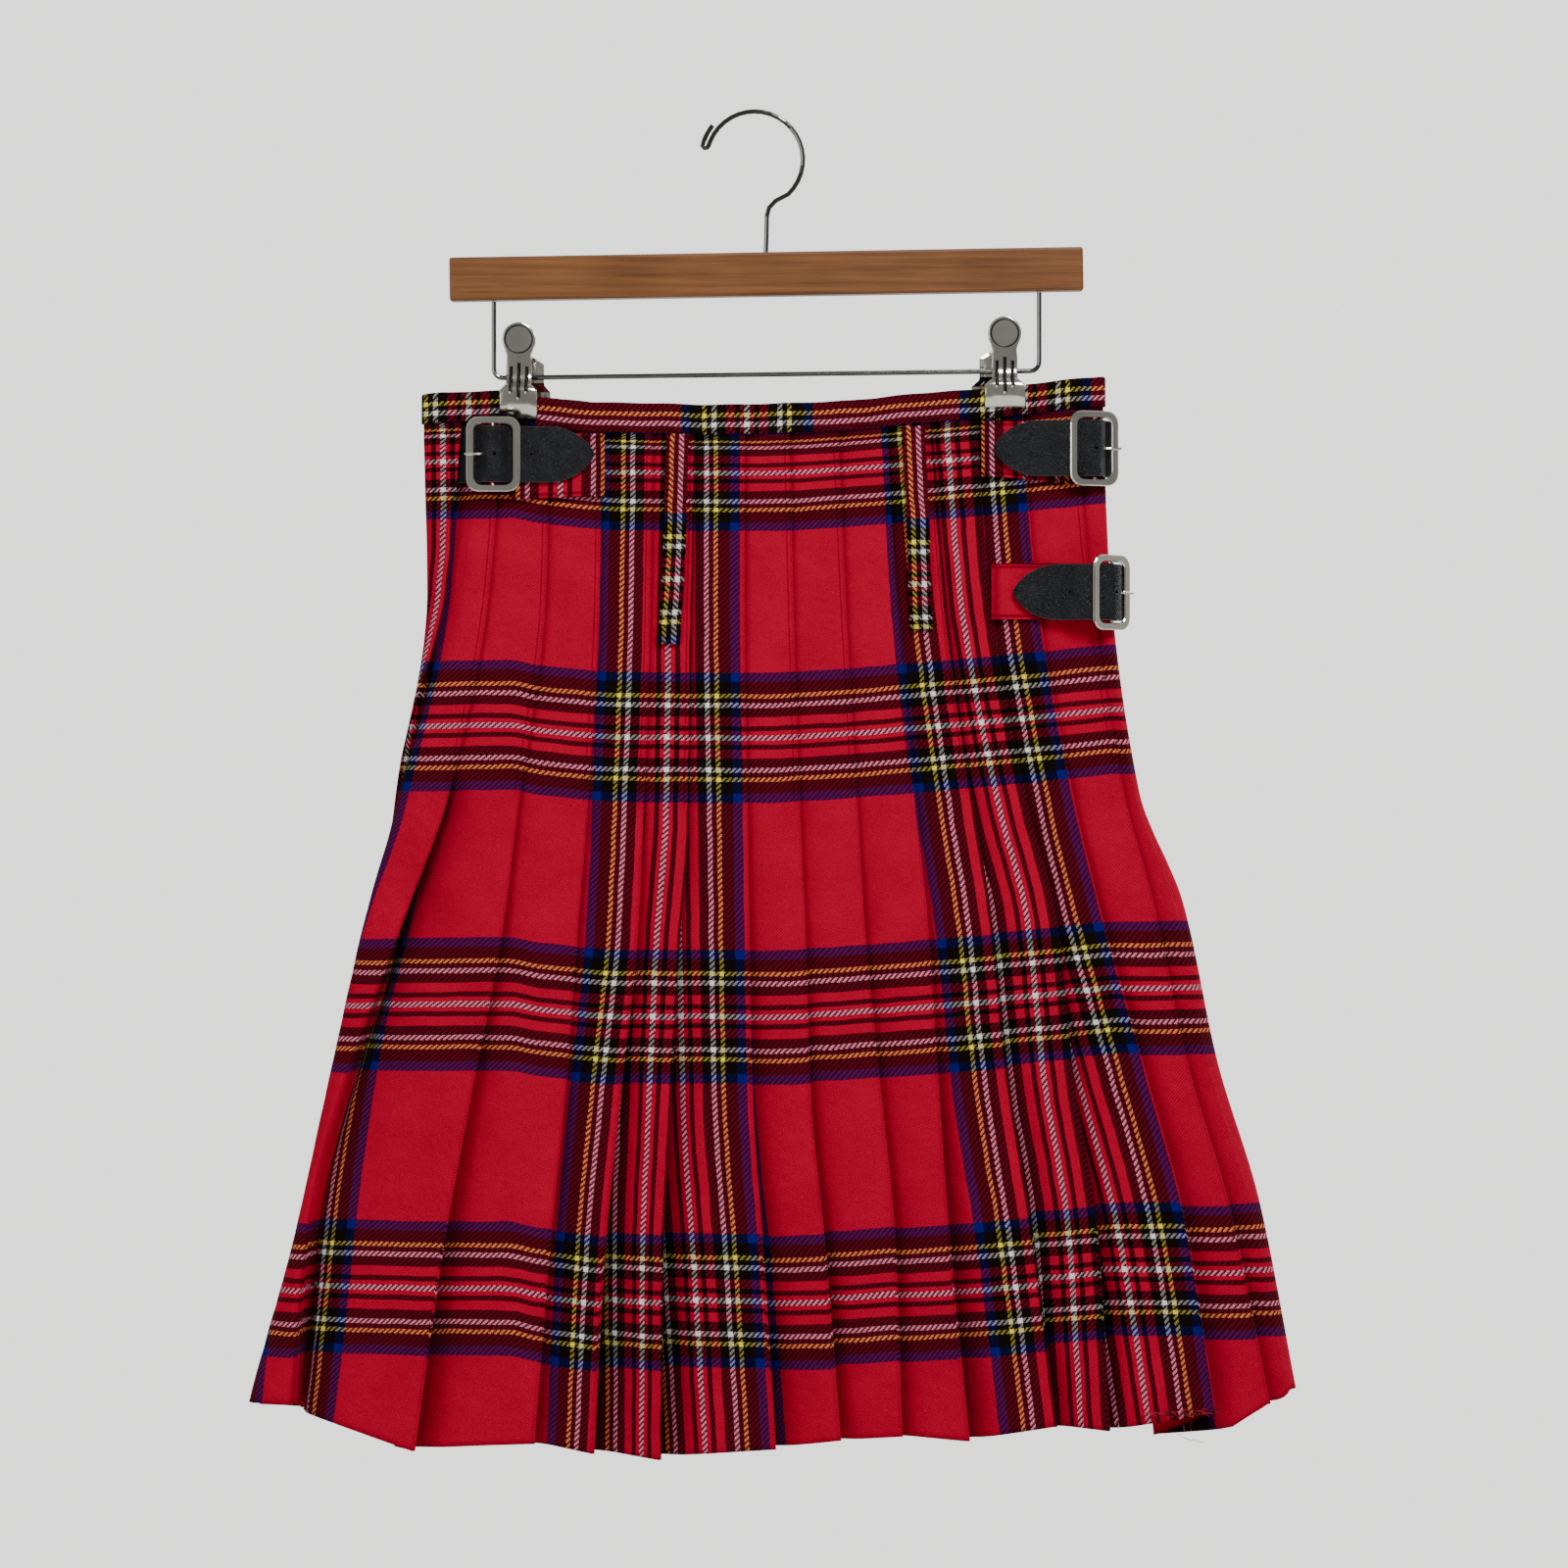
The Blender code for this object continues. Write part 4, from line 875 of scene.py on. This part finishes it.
def tab_cloth(name, material):
    """Tab round a buckle's bar, stitched along its edges."""
    z = BUCKLES[name][1]
    high, deep = BUCKLES[name][5:7]
    top, low = (tab_path(name, share_at(height)) for height in (high, deep))
    half = OPENING_HEIGHT / 2 - 0.6
    way, across, level, lift = TAB_PLACES[name]
    keys = []
    for i, (a, b) in enumerate(zip(top, low)):
        inner = min(i, len(top) - 1 - i)
        part = ease(inner, 6.5, 9.5)
        keys.append((*a, high + (min(z + half, high + 3) - high) * part,
                     *b, deep + (max(z - half, deep) - deep) * part
                     + lift * (1 - ease(inner, 0, 6.5))))
    line = smooth_line(keys, 3)
    total = flat_lengths(line)
    rows = []
    for t in (0, 0.03, 0.06, 0.1, 0.2, 0.35, 0.5, 0.65, 0.8, 0.9, 0.94, 0.97, 1):
        row = []
        for p, place in zip(line, total):
            x, y, height = between(p[:3], p[3:], t)
            end = min(place, total[-1] - place)
            mark = (t in (0.06, 0.94)) + max(0.0, 1 - abs(end - 2.2) / 0.9)
            row.append((x, y, height, way * x + across, level - height,
                        0.75 * min(mark, 1.0)))
        rows.append(row)
    return make_grid(f"tab_{name}_cloth", rows, material)


def loop_cloth(name, material):
    """Belt loop of doubled cloth, a narrow strip down from the waistband."""
    top, bottom, pivot = LOOPS[name]
    rows = []
    for k in range(61):
        t = k / 60
        x, z = between(top, bottom, t)
        x += 0.7 * sin(7 * t + len(name)) * t
        share = (z + 162) / (-755 + 162)
        y = front_y(x, share) - CLOTH / 2 - GAP - 0.6
        y -= 1.3 * sin(pi * t) ** 0.6
        width = 6.5 - 0.35 * (sin(23 * t) > 0.6)
        end = 0.7 * max(0.0, 1 - abs(t - 0.975) / 0.012)
        rows.append([
            (x + s * width, y - 0.3 + 0.65 * ease(abs(s), 0.8, 1), z,
             21.4 - s * width, pivot - z, end + 0.4 * (abs(s) == 1))
            for s in (-1, -0.96, -0.85, -0.6, -0.3, 0, 0.3, 0.6, 0.85, 0.96, 1)])
    return make_grid(f"belt_loop_{name}_cloth", rows, material)


def punch(mesh, spots, columns):
    """Rounds the points about each spot of a grid to a hole, and opens it."""
    for spot in spots:
        middle = mesh.vertices[spot].co.copy()
        for dr in (-columns, 0, columns):
            for dc in (-1, 0, 1):
                if dr or dc:
                    point = mesh.vertices[spot + dr + dc]
                    away = (point.co - middle).normalized()
                    point.co = middle + away * HOLE_RADIUS * MM
    cut = bmesh.new()
    cut.from_mesh(mesh)
    cut.verts.ensure_lookup_table()
    bmesh.ops.delete(cut, geom=[cut.verts[s] for s in spots], context="VERTS")
    cut.to_mesh(mesh)
    cut.free()


def strap_piece(name, material):
    """Leather strap through its buckle, with punched holes, soft edges and wear."""
    centre, across, outward = buckle_place(name)
    z = BUCKLES[name][1]
    full = STRAP_WIDTH / 2
    top, low = (strap_path(name, share_at(z + side)) for side in (full, -full))
    line = smooth_line([(*a, *b) for a, b in zip(top, low)], 6)
    middle = [((p[0] + p[2]) / 2, (p[1] + p[3]) / 2) for p in line]
    local = [Vector(p) - centre for p in middle]
    total = lengths(middle)
    reach = total[-1]
    holes = []
    for place in STRAP_HOLES:
        lowest = -33.2 if place > 10 else -3.2
        found = [i for i, p in enumerate(local) if p.dot(outward) > lowest]
        holes.append(total[min(found, key=lambda i: abs(local[i].dot(across) - place))])
    stations = {reach * k / 90 for k in range(91)}
    stations |= {reach - d for d in (0.25, 0.7, 1.3, 2.2)}
    stations = [s for s in stations if all(abs(s - h) > 2.1 for h in holes)]
    stations = sorted(stations + [h + d for h in holes for d in (-1.4, 0, 1.4)])
    rows = []
    for s in STRAP_ROWS:
        row = []
        for place, p in zip(stations, pick(line, total, stations)):
            left = (reach - place) / STRAP_END
            half = max(full * (1 - (1 - left) ** 2) ** 0.68 if left < 1 else full, 0.3)
            h = s * (half if abs(s) > 0.2 or half < 2 else full)
            x, y = between(p[:2], p[2:], (1 - h / full) / 2)
            near = min(abs(place - hole) for hole in holes)
            dish = 0.25 * exp(-(near / 5) ** 2) * exp(-(h / 6) ** 2)
            row.append((x, y + dish, z + h, place, h, 0.95 * (abs(s) == 1)))
        rows.append(row)
    columns = len(stations)
    centre_row = STRAP_ROWS.index(0) * columns
    piece = make_grid(f"strap_{name}_leather", rows, material, 1.9, False)
    punch(piece.data, [centre_row + stations.index(h) for h in holes], columns)
    round_edges(piece, 0.35, 2, 50)
    return piece


def round_edges(obj, width, segments, degrees):
    """Rounds edges sharper than an angle."""
    edges = obj.modifiers.new("rounding", "BEVEL")
    edges.width = width * MM
    edges.segments = segments
    edges.angle_limit = radians(degrees)


class Wiring:
    """Short way to add and join shader nodes, as far as the end node's inputs."""

    def __init__(self, owner, end="Principled BSDF"):
        owner.use_nodes = True
        self.owner = owner
        self.tree = owner.node_tree
        self.end = self.tree.nodes[end]

    def put(self, value, socket):
        """Join a socket to an input, or set the input."""
        if isinstance(value, bpy.types.NodeSocket):
            self.tree.links.new(value, socket)
        elif isinstance(value, tuple) and len(value) < len(socket.default_value):
            socket.default_value = (*value, 1.0)
        else:
            socket.default_value = value

    def add(self, kind, inputs=(), out=0, **settings):
        """Output of a new node with inputs and settings."""
        node = self.tree.nodes.new(kind)
        for key, value in settings.items():
            setattr(node, key, value)
        for key, value in dict(inputs).items():
            self.put(value, node.inputs[key])
        return node.outputs[out]

    def math(self, operation, *values):
        """Math node's result."""
        return self.add("ShaderNodeMath", enumerate(values), operation=operation)

    def line(self, value, factor, base):
        """Value times a factor, plus a base."""
        return self.math("MULTIPLY_ADD", value, factor, base)

    def times(self, a, b):
        """Product of two values."""
        return self.math("MULTIPLY", a, b)

    def mix(self, share, a, b, mode="MIX"):
        """Mixed colour."""
        return self.add("ShaderNodeMix", {"Factor": share, 6: a, 7: b}, 2,
                        data_type="RGBA", blend_type=mode)

    def shade(self, colour, value):
        """Colour times a grey value."""
        grey = self.add("ShaderNodeCombineColor", {0: value, 1: value, 2: value})
        return self.mix(1.0, colour, grey, "MULTIPLY")

    def noise(self, vector, scale, detail=2.0, roughness=0.5):
        """Noise value about one half."""
        return self.add("ShaderNodeTexNoise", {
            "Vector": vector, "Scale": scale, "Detail": detail,
            "Roughness": roughness}, "Fac")

    def ramp(self, value, stops, constant=False):
        """Colour ramp's result."""
        node = self.tree.nodes.new("ShaderNodeValToRGB")
        ramp = node.color_ramp
        if constant:
            ramp.interpolation = "CONSTANT"
        for place, _ in stops[1:-1]:
            ramp.elements.new(place)
        for element, (place, colour) in zip(ramp.elements, stops):
            element.position = place
            element.color = (*colour, 1.0)
        self.put(value, node.inputs["Fac"])
        return node.outputs["Color"]

    def bump(self, height, distance, strength=1.0):
        """Bumped normal from a height."""
        return self.add("ShaderNodeBump", {
            "Distance": distance, "Strength": strength, "Height": height}, "Normal")

    def place(self):
        """Point in space."""
        return self.add("ShaderNodeNewGeometry", out="Position")

    def mark(self):
        """Stitch marks, cut edges and painted shade of a grid."""
        return self.add("ShaderNodeAttribute", out="Fac", attribute_name="mark")

    def finish(self, **values):
        """Sets the end node's inputs, named with underscores, and gives the owner."""
        for key, value in values.items():
            self.put(value, self.end.inputs[key.replace("_", " ")])
        return self.owner


def look(name):
    """Wiring of a new material."""
    return Wiring(bpy.data.materials.new(name))


def sett_colour(w, place):
    """Yarn's colour at a place counted from a pivot."""
    half = float(sum(n for _, n in SETT))
    threads = w.math("DIVIDE", place, THREAD)
    share = w.math("DIVIDE", w.math("PINGPONG", threads, half), half)
    stops = []
    at = 0
    for colour, n in SETT:
        stops.append((at / half, YARN[colour]))
        at += n
    return w.ramp(share, stops, constant=True)


def tartan(name, twill=1.0):
    """Two-and-two twill of the tartan in yarns that run both ways."""
    w = look(name)
    uv = w.add("ShaderNodeUVMap", uv_map="cloth")
    place = w.place()
    wobble = w.times(w.math("SUBTRACT", w.noise(place, 60), 0.5), 1.4)
    across, downward = (
        w.math("ADD", w.add("ShaderNodeSeparateXYZ", {0: uv}, axis), wobble)
        for axis in "XY")
    warp = w.math("DIVIDE", across, WEAVE)
    weft = w.math("DIVIDE", downward, WEAVE)
    # One yarn lies over two of the other, a step further on in each row
    step = w.math("ADD", w.math("FLOOR", warp), w.times(w.math("FLOOR", weft), twill))
    over = w.math("LESS_THAN", w.math("FLOORED_MODULO", step, 4.0), 2.0)
    # Both yarns' colour mixed, then as bright as the yarn on top
    one = sett_colour(w, across)
    other = sett_colour(w, downward)
    mixed = w.add("ShaderNodeGamma", {"Color": w.mix(0.5, other, one), "Gamma": 3.0})
    tones = [w.math("POWER", w.add("ShaderNodeRGBToBW", {0: yarn}), 2.4)
             for yarn in (one, other)]
    own = w.math("ADD", w.times(over, tones[0]),
                 w.times(w.math("SUBTRACT", 1.0, over), tones[1]))
    glow = w.math("DIVIDE", w.times(own, 2.0), w.math("ADD", *tones))
    apart = w.add("ShaderNodeVectorMath", {0: one, 1: other}, "Value",
                  operation="DISTANCE")
    differs = w.math("GREATER_THAN", apart, 0.05)
    # Diagonal ribs, as bump and as painted shade darkening each float towards its ends,
    # deeper where the two yarns differ
    float_place = w.math("ADD", warp, w.times(weft, twill))
    along_float = w.math("FRACT", w.math("DIVIDE", float_place, 2.0))
    rib = w.math("POWER", w.math("ABSOLUTE", w.line(along_float, 2.0, -1.0)), 2.0)
    shade = w.line(rib, w.line(differs, -0.04, -0.42), 1.16)
    # Then the top yarn's tone, painted shade between the threads where the two yarns
    # differ, random tone, and the grid's stitch marks and painted shade
    for factor in (glow, w.line(differs, -0.26, 1.0),
                   w.line(w.noise(place, 45, 3.0), 0.26, 0.87),
                   w.line(w.noise(place, 1500, 1.0), 0.5, 0.75),
                   w.line(w.mark(), -0.8, 1.0)):
        shade = w.times(shade, factor)
    height = w.math("ADD", w.times(rib, -0.5), w.times(w.noise(place, 110, 3.0), 3.0))
    return w.finish(
        Base_Color=w.shade(mixed, shade), Roughness=0.9,
        Specular_IOR_Level=0.04, Sheen_Weight=0.02, Sheen_Roughness=0.5,
        Sheen_Tint=(1.0, 0.5, 0.5, 1.0), Normal=w.bump(height, 0.0005, 0.7))


def leather():
    """Black grained leather, paler at its cut edges and worn a little."""
    w = look("leather_look")
    place = w.place()
    cells = w.add("ShaderNodeTexVoronoi", {"Vector": place, "Scale": 900.0},
                  "Distance", feature="DISTANCE_TO_EDGE")
    worn = w.noise(place, 90, 4.0)
    face = w.ramp(worn, ((0.35, (0.0028, 0.003, 0.0042)),
                         (0.75, (0.010, 0.011, 0.014))))
    edge = w.math("GREATER_THAN", w.mark(), 0.72)
    grain = w.math("ADD", w.times(cells, 2.0), w.noise(place, 400, 3.0))
    return w.finish(
        Base_Color=w.mix(edge, face, (0.055, 0.055, 0.06)),
        Roughness=w.line(worn, 0.25, 0.36), Specular_IOR_Level=0.22,
        Normal=w.bump(grain, 0.0004, 0.9))


def metal(name, colour, roughness):
    """Plated or drawn metal with fine wear."""
    w = look(name)
    place = w.place()
    return w.finish(
        Base_Color=w.shade(colour, w.line(w.noise(place, 55, 3.0), 0.5, 0.75)),
        Metallic=1.0, Roughness=w.line(w.noise(place, 260, 4.0), 0.14, roughness),
        Normal=w.bump(w.noise(place, 120), 0.0001, 0.35))


def wood():
    """Honey-coloured wood, grain along the bar."""
    w = look("wood_look")
    place = w.add("ShaderNodeTexCoord", out="Object")
    fibres = w.add("ShaderNodeMapping", {
        "Vector": place, "Scale": (11.0, 160.0, 330.0)})
    grain = w.noise(fibres, 1.0, 6.0, 0.62)
    tone = w.math("ADD", w.times(grain, 0.7), w.times(w.noise(place, 16), 0.3))
    scratch = w.add("ShaderNodeMapping", {
        "Vector": place, "Scale": (30.0, 30.0, 210.0), "Rotation": (0.0, 0.25, 0.0)})
    lines = w.math("GREATER_THAN", w.noise(scratch, 1.0, 8.0, 0.8), 0.735)
    colour = w.ramp(tone, ((0.34, (0.105, 0.036, 0.010)), (0.52, (0.185, 0.068, 0.019)),
                           (0.68, (0.25, 0.10, 0.032))))
    return w.finish(
        Base_Color=w.mix(w.times(lines, 0.5), colour, (0.5, 0.36, 0.2)),
        Roughness=w.line(grain, 0.15, 0.36), Specular_IOR_Level=0.3,
        Normal=w.bump(grain, 0.0002, 0.4))


def loose_yarn():
    """Red and dark yarn pulled out of the hem."""
    w = look("loose_yarn_look")
    place = w.place()
    return w.finish(
        Base_Color=w.ramp(w.noise(place, 190, 1.0), ((0.40, (0.02, 0.002, 0.006)),
                                                     (0.55, (0.40, 0.003, 0.02)))),
        Roughness=0.9, Normal=w.bump(w.noise(place, 1500, 1.0), 0.0001, 0.5))


def carry(name, material, rounding=0.0):
    """Shows a CAD node in a look, its edges rounded."""
    NODES[name].data.materials.clear()
    NODES[name].data.materials.append(material)
    if rounding:
        round_edges(NODES[name], rounding, 3, 25)


def dress(obj, node):
    """Puts a piece on the root body in place of its node, which it hides."""
    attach(obj, "root")
    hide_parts(node)


def tube(name, lines, radius, material):
    """Fine threads or ribs along lines of points in millimetres."""
    curve = bpy.data.curves.new(name, "CURVE")
    curve.dimensions = "3D"
    curve.bevel_depth = radius * MM
    curve.bevel_resolution = 2
    curve.use_fill_caps = True
    for points in lines:
        spline = curve.splines.new("POLY")
        spline.points.add(len(points) - 1)
        for point, co in zip(spline.points, points):
            point.co = (*(c * MM for c in co), 1.0)
    curve.materials.append(material)
    obj = add_object(name, curve)
    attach(obj, "root")
    return obj


def clip_trim(name, material, dark):
    """Stamped face of a clip, its ribs and the head's rim in a dark steel that paints
    their shade and dark reflection, and the ribs' bright ends.
    """
    x, z, jaw, jaw_height = CLIPS[name]
    jaw_top = smooth(WAIST_EDGE, x) - 0.5
    plate = CLIP_PLATE / 2 + 0.1
    outer = FRONT_DEPTH[0] + 1.5 * CLOTH + 2 * GAP + plate
    rail = RAIL_WIRE / 2 + GAP + plate
    rail_z = z - CLIP_RAIL_DROP
    # Height, half width and depth of the face, from the head to the jaw
    levels = []
    for degrees in range(90, -35, -6):
        rise = sin(radians(degrees))
        half = CLIP_HEAD * cos(radians(degrees))
        levels.append((z + CLIP_HEAD * rise, max(half, 0.4), 5.4 - 0.5 * (1 - rise)))
    levels += [(z - 9, CLIP_NECK * 0.93, 4.2), (z - 14, CLIP_NECK, 2.8),
               (rail_z + 3, CLIP_NECK, rail), (rail_z - 3, CLIP_NECK, rail + 0.2),
               (jaw_top + 5, CLIP_NECK * 1.02, outer - 3.0),
               (jaw_top + 2.6, jaw * 0.8, outer), (jaw_top + 1, jaw * 0.96, outer),
               (jaw_top - jaw_height, jaw, outer)]
    rows = [[(x + side * half, 0.25 * (abs(side) == 1) - out - plate - 0.35, height,
              0.0, 0.0, 0.0) for side in (-1, -0.93, -0.5, 0, 0.5, 0.93, 1)]
            for height, half, out in levels]
    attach(make_grid(f"clip_{name}_face", rows, material, 0.3, False), "root")
    line = [(height, out + plate + 0.6) for height, _, out in levels[::-1]]
    ribs = []
    for shift, high, low in CLIP_RIBS:
        heights = [z + high + (low - high) * k / 11 for k in range(12)]
        ribs.append([(x + shift, -smooth(line, height), height) for height in heights])
    tube(f"clip_{name}_ribs", ribs, 1.1, dark)
    ends = [rib[-1] for rib in ribs]
    studs = [[(a, b - 0.3, c + 0.5), (a, b - 0.3, c - 0.6)] for a, b, c in ends]
    tube(f"clip_{name}_studs", studs, 1.0, material)
    rim = []
    for k in range(33):
        across, rise = (turn(tau * k / 32) for turn in (cos, sin))
        rim.append((x + CLIP_RIM * across, 0.4 * (1 - rise) - 6.7, z + CLIP_RIM * rise))
    tube(f"clip_{name}_rim", [rim], 0.45, dark)


def frayed_hem(material):
    """Short broken threads and one long loose one at the worn pleat's hem."""
    lines = []
    for _ in range(FRAY_THREADS):
        x = chance.uniform(*FRAY)
        across = (x - FRAY[0]) / (FRAY[1] - FRAY[0])
        z = -741.5 - 1.28 * sin(across * pi) + chance.uniform(-2, 1)
        y = front_y(x, 1.0) - 2.4 + chance.uniform(-0.8, 0.8)
        bend = chance.uniform(-1, 1)
        run = chance.uniform(2.0, 6.5)
        fall = chance.uniform(-2.6, 0.8)
        lines.append([(x + run * t, y - 0.6 * sin(pi * t),
                       z + fall * t + bend * sin(pi * t))
                      for t in (0, 0.25, 0.5, 0.75, 1)])
    y = front_y(248, 1.0) - 2.6
    lines.append([(x, y, z) for x, z in (
        (240.8, -755.4), (243, -756.6), (246, -758.2), (248.6, -759.2), (251.2, -759.0),
        (253.4, -759.8), (255.4, -759.9))])
    return tube("frayed_threads", lines, 0.17, material)


def studio():
    """Pale floor, soft light and the camera."""
    bpy.ops.mesh.primitive_plane_add(size=FLOOR_SIZE, location=FLOOR_PLACE)
    floor = bpy.context.active_object
    floor.name = "floor"
    floor.data.materials.append(look("floor_look").finish(
        Base_Color=(0.78, 0.77, 0.75, 1.0), Roughness=0.9))
    w = Wiring(bpy.data.worlds.new("studio"), "Background")
    way = w.add("ShaderNodeTexCoord", out="Generated")
    depth = w.add("ShaderNodeSeparateXYZ", {0: way}, "Y")
    tones = [(place, (tone, tone, tone * 0.985)) for place, tone in SKY]
    bpy.context.scene.world = w.finish(
        Color=w.ramp(w.line(depth, 0.5, 0.5), tones), Strength=SKY_STRENGTH)
    for name, place, size, power in LAMPS:
        lamp = bpy.data.lights.new(name, "AREA")
        lamp.shape = "SQUARE"
        lamp.size = size
        lamp.energy = power
        light = add_object(name, lamp)
        light.visible_camera = False
        light.location = place
        aim = LAMPS_AIM - Vector(place)
        light.rotation_euler = aim.to_track_quat("-Z", "Y").to_euler()
    lens = bpy.data.cameras.new("camera")
    lens.lens = CAMERA_LENS
    lens.sensor_width = 36.0
    camera = add_object("camera", lens)
    camera.location = CAMERA_PLACE
    camera.rotation_euler = (pi / 2, 0.0, 0.0)
    bpy.context.scene.camera = camera


def main():
    """Dress the frame."""
    body = tartan("tartan_look")
    binding = tartan("binding_look", -1.0)
    pleats = pleated_cloth(body)
    over = apron_cloth("over_apron_cloth", outer_line, 4.8, 1, body)
    under = apron_cloth("under_apron_cloth", under_line, -40.0, -1, body)
    band = band_cloth(binding)
    dress(pleats, "pleated_back")
    dress(over, "over_apron")
    dress(under, "under_apron")
    dress(band, "waistband")
    hide = leather()
    for name in BUCKLES:
        dress(tab_cloth(name, body), f"tab_{name}")
        dress(strap_piece(name, hide), f"strap_{name}")
    for name in LOOPS:
        dress(loop_cloth(name, body), f"belt_loop_{name}")
    steel = metal("plated_look", (0.76, 0.74, 0.65), 0.1)
    wire = metal("wire_look", (0.13, 0.13, 0.125), 0.07)
    # A dark copy of the plated steel, painting the shade and dark reflection of the
    # clips' pressed ribs and rims
    dark = metal("painted_shade_steel_look", (0.03, 0.03, 0.028), 0.3)
    for name in NODES:
        if name.startswith(("buckle", "prong", "clip_left", "clip_right")):
            carry(name, steel, 0.35 if name.startswith("buckle") else 0.15)
        if name in ("hook", "clip_rail") or name.endswith("spring"):
            carry(name, wire)
    carry("hanger_bar", wood())
    for name in CLIPS:
        clip_trim(name, steel, dark)
    frayed_hem(loose_yarn())
    studio()


main()
